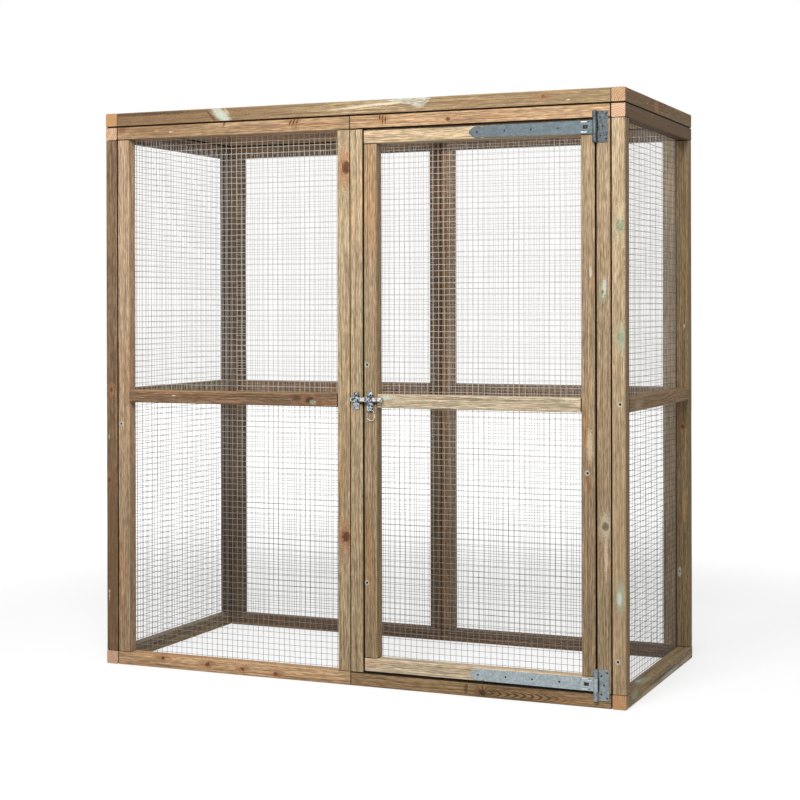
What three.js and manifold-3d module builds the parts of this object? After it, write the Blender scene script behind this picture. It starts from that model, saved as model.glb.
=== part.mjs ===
/**
 * A garden aviary of netted timber panels: two side panels, two back panels, a fixed front panel,
 * a front panel with a hinged door, and a flat netted roof. Millimetres, +Z up, front towards -Y,
 * origin on the ground under the middle of the whole thing.
 *
 * Every panel is the same idea: two rails as long as the panel is wide, two stiles between them,
 * a mid rail between the stiles and netting on the inner face.
 */
import * as THREE from 'three';
import { mergeVertices } from 'three/addons/utils/BufferGeometryUtils.js';
import Module from 'manifold-3d';

// Overall sizes
const overallWidth = 1800;
const overallDepth = 832;
const panelHeight = 1802;

// Battens, all of one square section, but for the roof's, which are a little taller
const timber = 44;
const roofThickness = 46;
const arrisRadius = 2.5;
const arrisSegments = 1;
const jointGap = 0.3;
const panelGap = 0.6;

// Front panel that holds the door
const doorPanelWidth = 851;
const doorGap = 4;

// Welded netting, drawn as broad bars that each stand for a strip of fine wires
const netThickness = 1.6;
const netClearance = 0.3;
const netBar = 5.6;
const netCell = 152;
const netLap = 22;

// Tee hinges: a plate on the frame, a strap on the door and a pin through both
const seatGap = 0.3;
const hingeSheet = 3;
const knuckleWall = 3.2;
const pinRadius = 4;
const pinClearance = 0.1;
const pinHeadRadius = 5.6;
const pinHeadHeight = 2;
const pinHeadChamfer = 0.8;
const knuckleGap = 0.4;
const plateWidth = 40;
const plateHeight = 92;
const plateCorner = 2;
const plateSlotClearance = 2.6;
const hingeHoleRadius = 2.6;
const plateHoleShares = [[0.4, 0.6], [0.85, 0.82], [0.6, 0], [0.4, -0.6], [0.85, -0.82]];
const strapLength = 402;
const strapRootWidth = 40;
const strapEndWidth = 36;
const strapHoleShares = [0.286, 0.5, 0.711, 0.933];
const spadeLength = 49;
const spadeNotch = 5;
const spadeNeckWidth = 27;
const spadeWidth = 36;
const spadeBulge = 22;
const padLength = 32;
const padWidth = 30;
const padHeight = 1.4;
const padOffset = 14;
const padHoleLength = 16;
const padHoleWidth = 11;

// Sliding bolt of the latch: keep on the frame, guide on the door, bar, knob and locking link
const boltRadius = 8;
const boltChamfer = 2;
const boltClearance = 0.4;
const boltStandOff = 2.5;
const boltRise = 5;
const boltEndInset = 3.5;
const boltPastGuide = 14;
const knobRadius = 10;
const knobLength = 21;
const knobNeckRadius = 6.5;
const tenonRadius = 4;
const tenonLength = 10;
const tenonClearance = 0.3;
const stapleSheet = 2.5;
const stapleWidth = 25;
const topEarWidth = 16;
const bottomEarWidth = 22;
const earCorner = 5;
const earHoleRadius = 2.3;
const keepTopEar = 13;
const keepBottomEar = 21;
const guideTopEar = 15;
const guideBottomEar = 27;
const eyeBore = 2.3;
const eyeWall = 2;
const eyeWidth = 8;
const eyeStandOff = 4.9;
const eyeOffset = 4;
const linkHalfWidth = 13;
const linkStraight = 7;
const linkWireRadius = 1.1;

// How finely round shapes are drawn
const roundSegments = 18;
const holeSegments = 10;
const curveSegments = 4;
const wireSides = 8;
const linkSteps = 24;

// One overrun serves every cut
const overrun = 1;

// Sizes that follow from the ones above
const netSeam = netThickness + 2 * netClearance;
const roofBase = panelHeight + jointGap;
const innerHalfWidth = overallWidth / 2 - timber - netSeam;
const fixedPanelWidth = 2 * innerHalfWidth - panelGap - doorPanelWidth;
const backPanelWidth = innerHalfWidth - panelGap / 2;
const doorWidth = doorPanelWidth - 2 * timber - 2 * doorGap;
const doorHeight = panelHeight - 2 * timber - 2 * doorGap;
const knuckleRadius = pinRadius + pinClearance + knuckleWall;
const boltAxisDepth = boltStandOff + boltRadius;
const archInner = boltRadius + boltClearance;
const archOuter = archInner + stapleSheet;
const eyeHeight = eyeBore + eyeWall - archOuter - guideBottomEar;
const latchReach = seatGap + boltAxisDepth + archOuter;

// Places: the box round the whole aviary, latch included, is centred on the origin
const frontY = (latchReach - overallDepth) / 2;
const backY = frontY + overallDepth;
const middleY = (frontY + backY) / 2;
const doorPanelX = innerHalfWidth - doorPanelWidth / 2;
const doorFloor = timber + doorGap;
const hingeX = innerHalfWidth - timber - doorGap / 2;
const hingeY = frontY - seatGap - knuckleRadius;
const hingeHeights = { top: doorFloor + doorHeight - timber / 2, bottom: doorFloor + timber / 2 };
const keepX = doorPanelX - doorPanelWidth / 2 + timber / 2;
const guideX = doorPanelX - doorWidth / 2 + timber / 2;
const latchZ = panelHeight / 2 + boltRise;
const boltTipX = keepX - stapleWidth / 2 + boltEndInset;
const knobX = guideX + stapleWidth / 2 + boltPastGuide;
const boltLength = knobX - boltTipX;

// Finishes
const tanPine = new THREE.MeshStandardMaterial({ color: 0xb1926a, roughness: 0.85, metalness: 0 });
const brownPine = new THREE.MeshStandardMaterial({ color: 0x92765a, roughness: 0.88, metalness: 0 });
const galvanisedWire = new THREE.MeshStandardMaterial({ color: 0xb9bab5, roughness: 0.5, metalness: 0.8 });
const galvanisedHinge = new THREE.MeshStandardMaterial({ color: 0x8b9ca1, roughness: 0.45, metalness: 0.9 });
const zincLatch = new THREE.MeshStandardMaterial({ color: 0xbac6cb, roughness: 0.32, metalness: 0.95 });

const wasm = await Module();
wasm.setup();

/** A closed three.js geometry as a solid that can be joined and cut. */
function solidOf(geometry) {
  const bare = geometry.clone();
  bare.deleteAttribute('normal');
  bare.deleteAttribute('uv');
  const welded = mergeVertices(bare);
  return new wasm.Manifold(new wasm.Mesh({
    numProp: 3,
    vertProperties: Float32Array.from(welded.getAttribute('position').array),
    triVerts: Uint32Array.from(welded.getIndex().array),
  }));
}

/** A joined or cut solid as a three.js geometry. */
function geometryOf(solid) {
  const mesh = solid.getMesh();
  const indexed = new THREE.BufferGeometry();
  indexed.setAttribute('position', new THREE.BufferAttribute(mesh.vertProperties, 3));
  indexed.setIndex(new THREE.BufferAttribute(mesh.triVerts, 1));
  const geometry = indexed.toNonIndexed();
  geometry.computeVertexNormals();
  return geometry;
}

function namedMesh(name, geometry, material) {
  const mesh = new THREE.Mesh(geometry, material);
  mesh.name = name;
  return mesh;
}

/** A flat outline drawn in X and Z, with its thickness from y = back towards the front. */
function plateBehind(shape, thickness, back) {
  const geometry = new THREE.ExtrudeGeometry(shape, {
    depth: thickness,
    bevelEnabled: false,
    curveSegments,
  });
  geometry.rotateX(Math.PI / 2);
  geometry.translate(0, back, 0);
  return geometry;
}

/** An upright cylinder whose middle is at the given place. */
function uprightCylinder(radius, height, segments, x, y, z) {
  const geometry = new THREE.CylinderGeometry(radius, radius, height, segments);
  geometry.rotateX(Math.PI / 2);
  geometry.translate(x, y, z);
  return geometry;
}

/** A cylinder along Y, for drilling a hole through a plate. */
function drill(radius, length, x, y, z) {
  const geometry = new THREE.CylinderGeometry(radius, radius, length, holeSegments);
  geometry.translate(x, y, z);
  return geometry;
}

function boxBetween(low, high) {
  const geometry = new THREE.BoxGeometry(high[0] - low[0], high[1] - low[1], high[2] - low[2]);
  geometry.translate((low[0] + high[0]) / 2, (low[1] + high[1]) / 2, (low[2] + high[2]) / 2);
  return geometry;
}

/** A rectangle with rounded corners, centred on the origin. */
function roundedRectangle(width, height, corner) {
  const x = width / 2;
  const y = height / 2;
  const shape = new THREE.Shape();
  shape.moveTo(-x + corner, -y);
  shape.absarc(x - corner, -y + corner, corner, -Math.PI / 2, 0);
  shape.absarc(x - corner, y - corner, corner, 0, Math.PI / 2);
  shape.absarc(-x + corner, y - corner, corner, Math.PI / 2, Math.PI);
  shape.absarc(-x + corner, -y + corner, corner, Math.PI, 1.5 * Math.PI);
  return shape;
}

/** A batten with eased long edges, sawn square at its ends, with its outer face at y = 0. */
function batten(name, material, length, thickness, upright, x, z) {
  const geometry = new THREE.ExtrudeGeometry(roundedRectangle(timber, thickness, arrisRadius), {
    depth: length,
    bevelEnabled: false,
    curveSegments: arrisSegments,
  });
  geometry.translate(0, 0, -length / 2);
  const mesh = namedMesh(name, geometry, material);
  mesh.rotation.y = upright ? 0 : Math.PI / 2;
  mesh.position.set(x, thickness / 2, z);
  return mesh;
}

/**
 * The frame of a panel, standing on the origin with its outer face at y = 0. The names say what
 * each piece is called: top, bottom, left and right as seen from outside, and mid where it has one.
 */
function panelFrame(width, height, thickness, material, names) {
  const frame = new THREE.Group();
  const stileLength = height - 2 * timber - 2 * jointGap;
  const midRailLength = width - 2 * timber - 2 * jointGap;
  const stileX = (width - timber) / 2;
  frame.add(batten(names.top, material, width, thickness, false, 0, height - timber / 2));
  frame.add(batten(names.bottom, material, width, thickness, false, 0, timber / 2));
  frame.add(batten(names.left, material, stileLength, thickness, true, -stileX, height / 2));
  frame.add(batten(names.right, material, stileLength, thickness, true, stileX, height / 2));
  if (names.mid) {
    frame.add(batten(names.mid, material, midRailLength, thickness, false, 0, height / 2));
  }
  return frame;
}

/** Netting stapled to a panel's inner face, lapped onto its battens. */
function netting(name, panelWidth, panelTall, panelThickness) {
  const width = panelWidth - 2 * netLap;
  const height = panelTall - 2 * netLap;
  const columns = Math.max(1, Math.round(width / netCell));
  const rows = Math.max(1, Math.round(height / netCell));
  const cellWidth = (width - netBar) / columns;
  const cellHeight = (height - netBar) / rows;
  const front = panelThickness + netClearance;
  const back = front + netThickness;
  let sheet = solidOf(boxBetween([-width / 2, front, 0], [width / 2, back, height]));
  for (let column = 0; column < columns; column += 1) {
    for (let row = 0; row < rows; row += 1) {
      const left = netBar + column * cellWidth - width / 2;
      const low = netBar + row * cellHeight;
      sheet = sheet.subtract(solidOf(boxBetween(
        [left, front - overrun, low],
        [left + cellWidth - netBar, back + overrun, low + cellHeight - netBar],
      )));
    }
  }
  const mesh = namedMesh(name, geometryOf(sheet), galvanisedWire);
  mesh.position.set(0, 0, netLap);
  return mesh;
}

/** A framed and netted panel, standing on the origin with its outer face at y = 0. */
function nettedPanel(width, height, thickness, material, names) {
  const panel = panelFrame(width, height, thickness, material, names);
  panel.add(netting(names.net, width, height, thickness));
  return panel;
}

/** Names of a panel's pieces from one prefix, with the stiles' own words. */
function panelNames(prefix, leftWord, rightWord) {
  return {
    top: `${prefix}_top_rail`,
    bottom: `${prefix}_bottom_rail`,
    left: `${prefix}_${leftWord}_stile`,
    right: `${prefix}_${rightWord}_stile`,
    mid: `${prefix}_mid_rail`,
    net: `${prefix}_net`,
  };
}

/** Side, back and fixed front panels, each turned so that its outer face looks outwards. */
function walls() {
  const group = new THREE.Group();
  const leftNames = panelNames('left', 'back', 'front');
  const left = nettedPanel(overallDepth, panelHeight, timber, brownPine, leftNames);
  left.rotation.z = -Math.PI / 2;
  left.position.set(-overallWidth / 2, middleY, 0);
  const rightNames = panelNames('right', 'front', 'back');
  const right = nettedPanel(overallDepth, panelHeight, timber, tanPine, rightNames);
  right.rotation.z = Math.PI / 2;
  right.position.set(overallWidth / 2, middleY, 0);
  const fixedX = (fixedPanelWidth - 2 * innerHalfWidth) / 2;
  const frontNames = panelNames('front', 'left', 'right');
  const front = nettedPanel(fixedPanelWidth, panelHeight, timber, tanPine, frontNames);
  front.position.set(fixedX, frontY, 0);
  group.add(left, right, front);
  for (const [side, prefix] of [[-1, 'back_left'], [1, 'back_right']]) {
    const names = panelNames(prefix, side < 0 ? 'inner' : 'outer', side < 0 ? 'outer' : 'inner');
    const back = nettedPanel(backPanelWidth, panelHeight, timber, brownPine, names);
    back.rotation.z = Math.PI;
    back.position.set(side * (backPanelWidth + panelGap) / 2, backY, 0);
    group.add(back);
  }
  return group;
}

/** The roof panel, laid flat with its netting on top: its rails lie along the sides. */
function roof() {
  const names = {
    top: 'roof_right_rail',
    bottom: 'roof_left_rail',
    left: 'roof_front_rail',
    right: 'roof_back_rail',
    mid: 'roof_mid_rail',
    net: 'roof_net',
  };
  const panel = nettedPanel(overallDepth, overallWidth, roofThickness, brownPine, names);
  const across = new THREE.Vector3(0, 1, 0);
  const upwards = new THREE.Vector3(0, 0, 1);
  const along = new THREE.Vector3(1, 0, 0);
  panel.setRotationFromMatrix(new THREE.Matrix4().makeBasis(across, upwards, along));
  panel.position.set(-overallWidth / 2, middleY, roofBase);
  return panel;
}

/** The frame that the door hangs in. */
function doorFrame() {
  const names = panelNames('door_frame', 'left', 'right');
  delete names.mid;
  const frame = panelFrame(doorPanelWidth, panelHeight, timber, tanPine, names);
  frame.position.set(doorPanelX, frontY, 0);
  return frame;
}

/** Knuckle of a hinge round its pin, between two heights. */
function knuckle(low, high) {
  return solidOf(uprightCylinder(knuckleRadius, high - low, roundSegments, 0, 0, (low + high) / 2));
}

/** The bore for the pin, cut through every knuckle of a hinge half. */
function pinBore() {
  const length = plateHeight + 2 * overrun;
  return solidOf(uprightCylinder(pinRadius + pinClearance, length, roundSegments, 0, 0, 0));
}

/** Hinge plate with its two knuckles; the pin's axis is the local Z axis. */
function hingePlate(name) {
  const half = plateHeight / 2;
  const slotHalf = strapRootWidth / 2 + knuckleGap;
  const start = knuckleWall / 2;
  const slotEnd = knuckleRadius + plateSlotClearance;
  const outline = roundedRectangle(plateWidth - start, plateHeight, plateCorner);
  const sheet = plateBehind(outline, hingeSheet, knuckleRadius);
  sheet.translate((plateWidth + start) / 2, 0, 0);
  let plate = solidOf(sheet);
  plate = plate.subtract(solidOf(boxBetween(
    [-overrun, knuckleRadius - hingeSheet - overrun, -slotHalf],
    [slotEnd, knuckleRadius + overrun, slotHalf],
  )));
  plate = plate.add(knuckle(slotHalf, half));
  plate = plate.add(knuckle(-half, -slotHalf));
  plate = plate.subtract(pinBore());
  for (const [across, up] of plateHoleShares) {
    const hole = drill(hingeHoleRadius, 2 * knuckleRadius, across * plateWidth, knuckleRadius, up * half);
    plate = plate.subtract(solidOf(hole));
  }
  return namedMesh(name, geometryOf(plate), galvanisedHinge);
}

/** Outline of the long strap, from its knuckle at x = 0 to the spade end at -strapLength. */
function strapOutline() {
  const root = strapRootWidth / 2;
  const end = strapEndWidth / 2;
  const neck = spadeNeckWidth / 2;
  const bulge = spadeWidth / 2;
  const shoulderX = spadeLength - strapLength;
  const neckX = shoulderX - spadeNotch;
  const bulgeX = shoulderX - spadeBulge;
  const noseX = (bulgeX - strapLength) / 2;
  const shape = new THREE.Shape();
  shape.moveTo(-knuckleWall / 2, -root);
  shape.lineTo(-knuckleWall / 2, root);
  shape.lineTo(shoulderX, end);
  shape.quadraticCurveTo(shoulderX, neck, neckX, neck);
  shape.quadraticCurveTo((neckX + bulgeX) / 2, bulge, bulgeX, bulge);
  shape.quadraticCurveTo(noseX, bulge, -strapLength, 0);
  shape.quadraticCurveTo(noseX, -bulge, bulgeX, -bulge);
  shape.quadraticCurveTo((neckX + bulgeX) / 2, -bulge, neckX, -neck);
  shape.quadraticCurveTo(shoulderX, -neck, shoulderX, -end);
  shape.closePath();
  return shape;
}

/** Hinge strap with its knuckle, raised pad, square bolt hole and screw holes. */
function hingeStrap(name) {
  const face = knuckleRadius - hingeSheet;
  const padX = -(padOffset + padLength / 2);
  let strap = solidOf(plateBehind(strapOutline(), hingeSheet, knuckleRadius));
  strap = strap.add(solidOf(boxBetween(
    [padX - padLength / 2, face - padHeight, -padWidth / 2],
    [padX + padLength / 2, face + padHeight, padWidth / 2],
  )));
  strap = strap.add(knuckle(-strapRootWidth / 2, strapRootWidth / 2));
  strap = strap.subtract(pinBore());
  strap = strap.subtract(solidOf(boxBetween(
    [padX - padHoleLength / 2, face - padHeight - overrun, -padHoleWidth / 2],
    [padX + padHoleLength / 2, knuckleRadius + overrun, padHoleWidth / 2],
  )));
  for (const share of strapHoleShares) {
    const hole = drill(hingeHoleRadius, 2 * knuckleRadius, -share * strapLength, knuckleRadius, 0);
    strap = strap.subtract(solidOf(hole));
  }
  return namedMesh(name, geometryOf(strap), galvanisedHinge);
}

/** Hinge pin with a low head at each end. */
function hingePin(name) {
  const under = plateHeight / 2 + seatGap;
  const end = under + pinHeadHeight;
  const profile = [
    [0, -end],
    [pinHeadRadius - pinHeadChamfer, -end],
    [pinHeadRadius, -end + pinHeadChamfer],
    [pinHeadRadius, -under],
    [pinRadius, -under],
    [pinRadius, under],
    [pinHeadRadius, under],
    [pinHeadRadius, end - pinHeadChamfer],
    [pinHeadRadius - pinHeadChamfer, end],
    [0, end],
  ];
  const points = profile.map(([radius, height]) => new THREE.Vector2(radius, height));
  const geometry = new THREE.LatheGeometry(points, roundSegments);
  geometry.rotateX(Math.PI / 2);
  return namedMesh(name, geometry, galvanisedHinge);
}

/** A place on the hinge axis, for the halves of one hinge. */
function onHingeAxis(meshes, height) {
  const group = new THREE.Group();
  group.position.set(0, 0, height);
  group.add(...meshes);
  return group;
}

/**
 * A strap of sheet bent over the bolt, with an ear above and a wider one below, each with a screw
 * hole. The bolt's axis is the local X axis and the ears' backs are at y = boltAxisDepth.
 */
function stapleSolid(topEar, bottomEar) {
  const depth = boltAxisDepth;
  const top = archOuter + topEar;
  const foot = -archOuter - bottomEar;
  const bend = new THREE.Shape();
  bend.moveTo(0, top);
  bend.lineTo(stapleSheet, top);
  bend.lineTo(stapleSheet, archOuter);
  bend.lineTo(depth, archOuter);
  bend.absarc(depth, 0, archOuter, Math.PI / 2, -Math.PI / 2, true);
  bend.lineTo(stapleSheet, -archOuter);
  bend.lineTo(stapleSheet, foot - overrun);
  bend.lineTo(0, foot - overrun);
  bend.lineTo(0, -archInner);
  bend.lineTo(depth, -archInner);
  bend.absarc(depth, 0, archInner, -Math.PI / 2, Math.PI / 2, false);
  bend.lineTo(0, archInner);
  bend.closePath();
  const strip = new THREE.ExtrudeGeometry(bend, {
    depth: stapleWidth,
    bevelEnabled: false,
    curveSegments,
  });
  const forwards = new THREE.Vector3(0, -1, 0);
  const up = new THREE.Vector3(0, 0, 1);
  const across = new THREE.Vector3(-1, 0, 0);
  strip.applyMatrix4(new THREE.Matrix4().makeBasis(forwards, up, across));
  strip.translate(stapleWidth / 2, depth, 0);

  const ear = topEarWidth / 2;
  const lobe = bottomEarWidth / 2;
  const wide = stapleWidth / 2 + overrun;
  const bendY = foot + earCorner;
  const front = new THREE.Shape();
  front.moveTo(-lobe, bendY);
  front.absarc(earCorner - lobe, bendY, earCorner, Math.PI, 1.5 * Math.PI, false);
  front.absarc(lobe - earCorner, bendY, earCorner, 1.5 * Math.PI, 2 * Math.PI, false);
  front.lineTo(lobe, -archOuter);
  front.lineTo(wide, -archOuter);
  front.lineTo(wide, archOuter);
  front.lineTo(ear, archOuter);
  front.absarc(0, top - ear, ear, 0, Math.PI, false);
  front.lineTo(-ear, archOuter);
  front.lineTo(-wide, archOuter);
  front.lineTo(-wide, -archOuter);
  front.lineTo(-lobe, -archOuter);
  front.closePath();
  const reach = 2 * (depth + archOuter);
  let staple = solidOf(strip).intersect(solidOf(plateBehind(front, reach, reach / 2)));
  for (const z of [archOuter + topEar / 2, -archOuter - bottomEar / 2]) {
    staple = staple.subtract(solidOf(drill(earHoleRadius, 2 * depth, 0, depth, z)));
  }
  return staple;
}

/** The keep that the bolt shoots into, on the frame's stile. */
function latchKeep() {
  const staple = stapleSolid(keepTopEar, keepBottomEar);
  const keep = namedMesh('latch_keep', geometryOf(staple), zincLatch);
  keep.position.set(keepX, frontY - seatGap - boltAxisDepth, latchZ);
  return keep;
}

/** A level cylinder along X at the eye that the link hangs in. */
function eyeCylinder(radius, length) {
  const geometry = new THREE.CylinderGeometry(radius, radius, length, roundSegments);
  geometry.rotateZ(Math.PI / 2);
  geometry.translate(eyeOffset, boltAxisDepth - eyeStandOff, eyeHeight);
  return solidOf(geometry);
}

/** The guide that carries the bolt on the door; its foot is rolled into an eye for the link. */
function latchGuide() {
  let guide = stapleSolid(guideTopEar, guideBottomEar);
  guide = guide.add(eyeCylinder(eyeBore + eyeWall, eyeWidth));
  guide = guide.subtract(eyeCylinder(eyeBore, eyeWidth + 2 * overrun));
  return namedMesh('latch_guide', geometryOf(guide), zincLatch);
}

/** The bolt's bar, from its chamfered tip at the origin to the tenon that carries the knob. */
function latchBolt() {
  const points = [
    new THREE.Vector2(0, 0),
    new THREE.Vector2(boltRadius - boltChamfer, 0),
    new THREE.Vector2(boltRadius, boltChamfer),
    new THREE.Vector2(boltRadius, boltLength),
    new THREE.Vector2(tenonRadius, boltLength),
    new THREE.Vector2(tenonRadius, boltLength + tenonLength),
    new THREE.Vector2(0, boltLength + tenonLength),
  ];
  const geometry = new THREE.LatheGeometry(points, roundSegments);
  geometry.rotateZ(-Math.PI / 2);
  return namedMesh('latch_bolt', geometry, zincLatch);
}

/** The knob, turned with a blind bore for the bar's tenon, with its shoulder at the origin. */
function latchKnob() {
  const bore = tenonRadius + tenonClearance;
  const boreEnd = tenonLength + tenonClearance;
  const profile = new THREE.Path();
  profile.moveTo(0, boreEnd);
  profile.lineTo(bore, boreEnd);
  profile.lineTo(bore, 0);
  profile.lineTo(knobNeckRadius, 0);
  profile.quadraticCurveTo(knobRadius, 0, knobRadius, knobLength / 2);
  profile.quadraticCurveTo(knobRadius, knobLength, 0, knobLength);
  const points = profile.getPoints(curveSegments);
  const geometry = new THREE.LatheGeometry(points, roundSegments);
  geometry.rotateZ(-Math.PI / 2);
  geometry.translate(jointGap, 0, 0);
  return namedMesh('latch_knob', geometry, zincLatch);
}

/** The oval link that hangs from the guide's eye; it swings about the eye's axis, local X. */
function latchLink() {
  const geometry = new THREE.TorusGeometry(linkHalfWidth, linkWireRadius, wireSides, linkSteps);
  geometry.rotateZ(Math.PI / linkSteps);
  const places = geometry.getAttribute('position');
  for (let index = 0; index < places.count; index += 1) {
    const y = places.getY(index);
    places.setY(index, y + Math.sign(y) * linkStraight / 2);
  }
  const drop = linkHalfWidth * Math.cos(Math.PI / linkSteps) + linkStraight / 2;
  geometry.rotateX(Math.PI / 2);
  geometry.translate(0, 0, -drop);
  return namedMesh('latch_link', geometry, zincLatch);
}

/** The door with what moves with it. Its group stands on the hinge axis and turns about it. */
function door() {
  const group = new THREE.Group();
  group.position.set(hingeX, hingeY, 0);
  const leafNames = panelNames('door', 'left', 'right');
  const leaf = nettedPanel(doorWidth, doorHeight, timber, tanPine, leafNames);
  leaf.position.set(doorPanelX - hingeX, frontY - hingeY, doorFloor);
  group.add(leaf);
  for (const [place, height] of Object.entries(hingeHeights)) {
    group.add(onHingeAxis([hingeStrap(`${place}_hinge_strap`)], height));
  }
  const latch = new THREE.Group();
  latch.position.set(guideX - hingeX, frontY - seatGap - boltAxisDepth - hingeY, latchZ);
  const slide = new THREE.Group();
  slide.position.set(boltTipX - guideX, 0, 0);
  const knob = latchKnob();
  knob.position.set(boltLength, 0, 0);
  slide.add(latchBolt(), knob);
  const link = latchLink();
  link.position.set(eyeOffset, boltAxisDepth - eyeStandOff, eyeHeight);
  latch.add(latchGuide(), slide, link);
  group.add(latch);
  return group;
}

/** Plates and pins of the hinges, fixed to the door frame. */
function fixedHingeParts() {
  const group = new THREE.Group();
  group.position.set(hingeX, hingeY, 0);
  for (const [place, height] of Object.entries(hingeHeights)) {
    group.add(onHingeAxis([hingePlate(`${place}_hinge_plate`), hingePin(`${place}_hinge_pin`)], height));
  }
  return group;
}

const aviary = new THREE.Group();
aviary.add(walls(), roof(), doorFrame(), door(), fixedHingeParts(), latchKeep());

export default aviary;
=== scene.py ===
"""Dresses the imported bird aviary: pine battens, welded netting, tee hinges and a sliding bolt."""

import logging
import math
import random
from collections.abc import Callable, Iterable, Iterator
from contextlib import contextmanager
from dataclasses import dataclass, field
from enum import Enum
from functools import partialmethod

import bpy
from mathutils import Matrix, Vector


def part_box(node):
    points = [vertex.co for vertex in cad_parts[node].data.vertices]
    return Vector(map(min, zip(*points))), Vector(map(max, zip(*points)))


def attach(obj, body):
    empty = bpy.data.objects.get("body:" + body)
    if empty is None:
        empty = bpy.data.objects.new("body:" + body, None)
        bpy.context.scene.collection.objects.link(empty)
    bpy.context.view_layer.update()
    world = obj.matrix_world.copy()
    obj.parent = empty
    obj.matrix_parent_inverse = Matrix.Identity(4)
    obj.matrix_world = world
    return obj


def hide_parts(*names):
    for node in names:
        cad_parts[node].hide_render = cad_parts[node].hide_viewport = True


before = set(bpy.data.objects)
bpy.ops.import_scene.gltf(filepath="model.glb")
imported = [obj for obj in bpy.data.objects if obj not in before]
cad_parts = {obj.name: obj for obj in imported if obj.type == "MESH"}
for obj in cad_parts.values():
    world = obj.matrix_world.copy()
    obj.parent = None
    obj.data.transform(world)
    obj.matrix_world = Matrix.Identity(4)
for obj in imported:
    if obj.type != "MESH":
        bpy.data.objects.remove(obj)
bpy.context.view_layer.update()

MM = 0.001
NEAR = 1e-5
FRONT_Y = -0.40515
WHITE_LIGHT = (1.0, 1.0, 1.0)
LOG = logging.getLogger("aviary")

Pair = tuple[float, float]
Pairs = tuple[Pair, ...]
Three = tuple[float, float, float]
Four = tuple[float, float, float, float]
Colour = Three
Thing = bpy.types.Object
Finish = bpy.types.Material
Test = Callable[..., bool]


class Axis(Enum):
    """The three axes of the aviary's frame."""

    X = 0
    Y = 1
    Z = 2

    def along(self, length: float) -> Vector:
        """Returns the vector of this length along the axis."""
        vector = Vector()
        vector[self.value] = length
        return vector

    @classmethod
    def longest(cls, size: Vector) -> "Axis":
        """Returns the axis on which a box is longest."""
        return cls(list(size).index(max(size)))


class Side(Enum):
    """The six ways that a face of a batten can look."""

    FRONT = (0, -1, 0)
    BACK = (0, 1, 0)
    LEFT = (-1, 0, 0)
    RIGHT = (1, 0, 0)
    TOP = (0, 0, 1)
    UNDER = (0, 0, -1)

    @property
    def axis(self) -> Axis:
        """The axis that the face is square to."""
        return Axis([abs(part) for part in self.value].index(1))

    def level(self, low: Vector, high: Vector) -> float:
        """Returns where this side of a box lies on its axis."""
        return (high if sum(self.value) > 0 else low)[self.axis.value]


class Body(Enum):
    """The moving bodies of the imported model."""

    CAGE = "cage"
    DOOR = "door"
    BOLT = "bolt"
    LINK = "link"


class Slot(Enum):
    """The record's material slots."""

    TAN_PINE = "tan_pine"
    BROWN_PINE = "brown_pine"
    NETTING = "netting"
    HINGE = "hinge_steel"
    LATCH = "latch_steel"


class Pick(Enum):
    """What is selected in edit mode."""

    VERT = "vertices"
    EDGE = "edges"
    FACE = "polygons"


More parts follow.
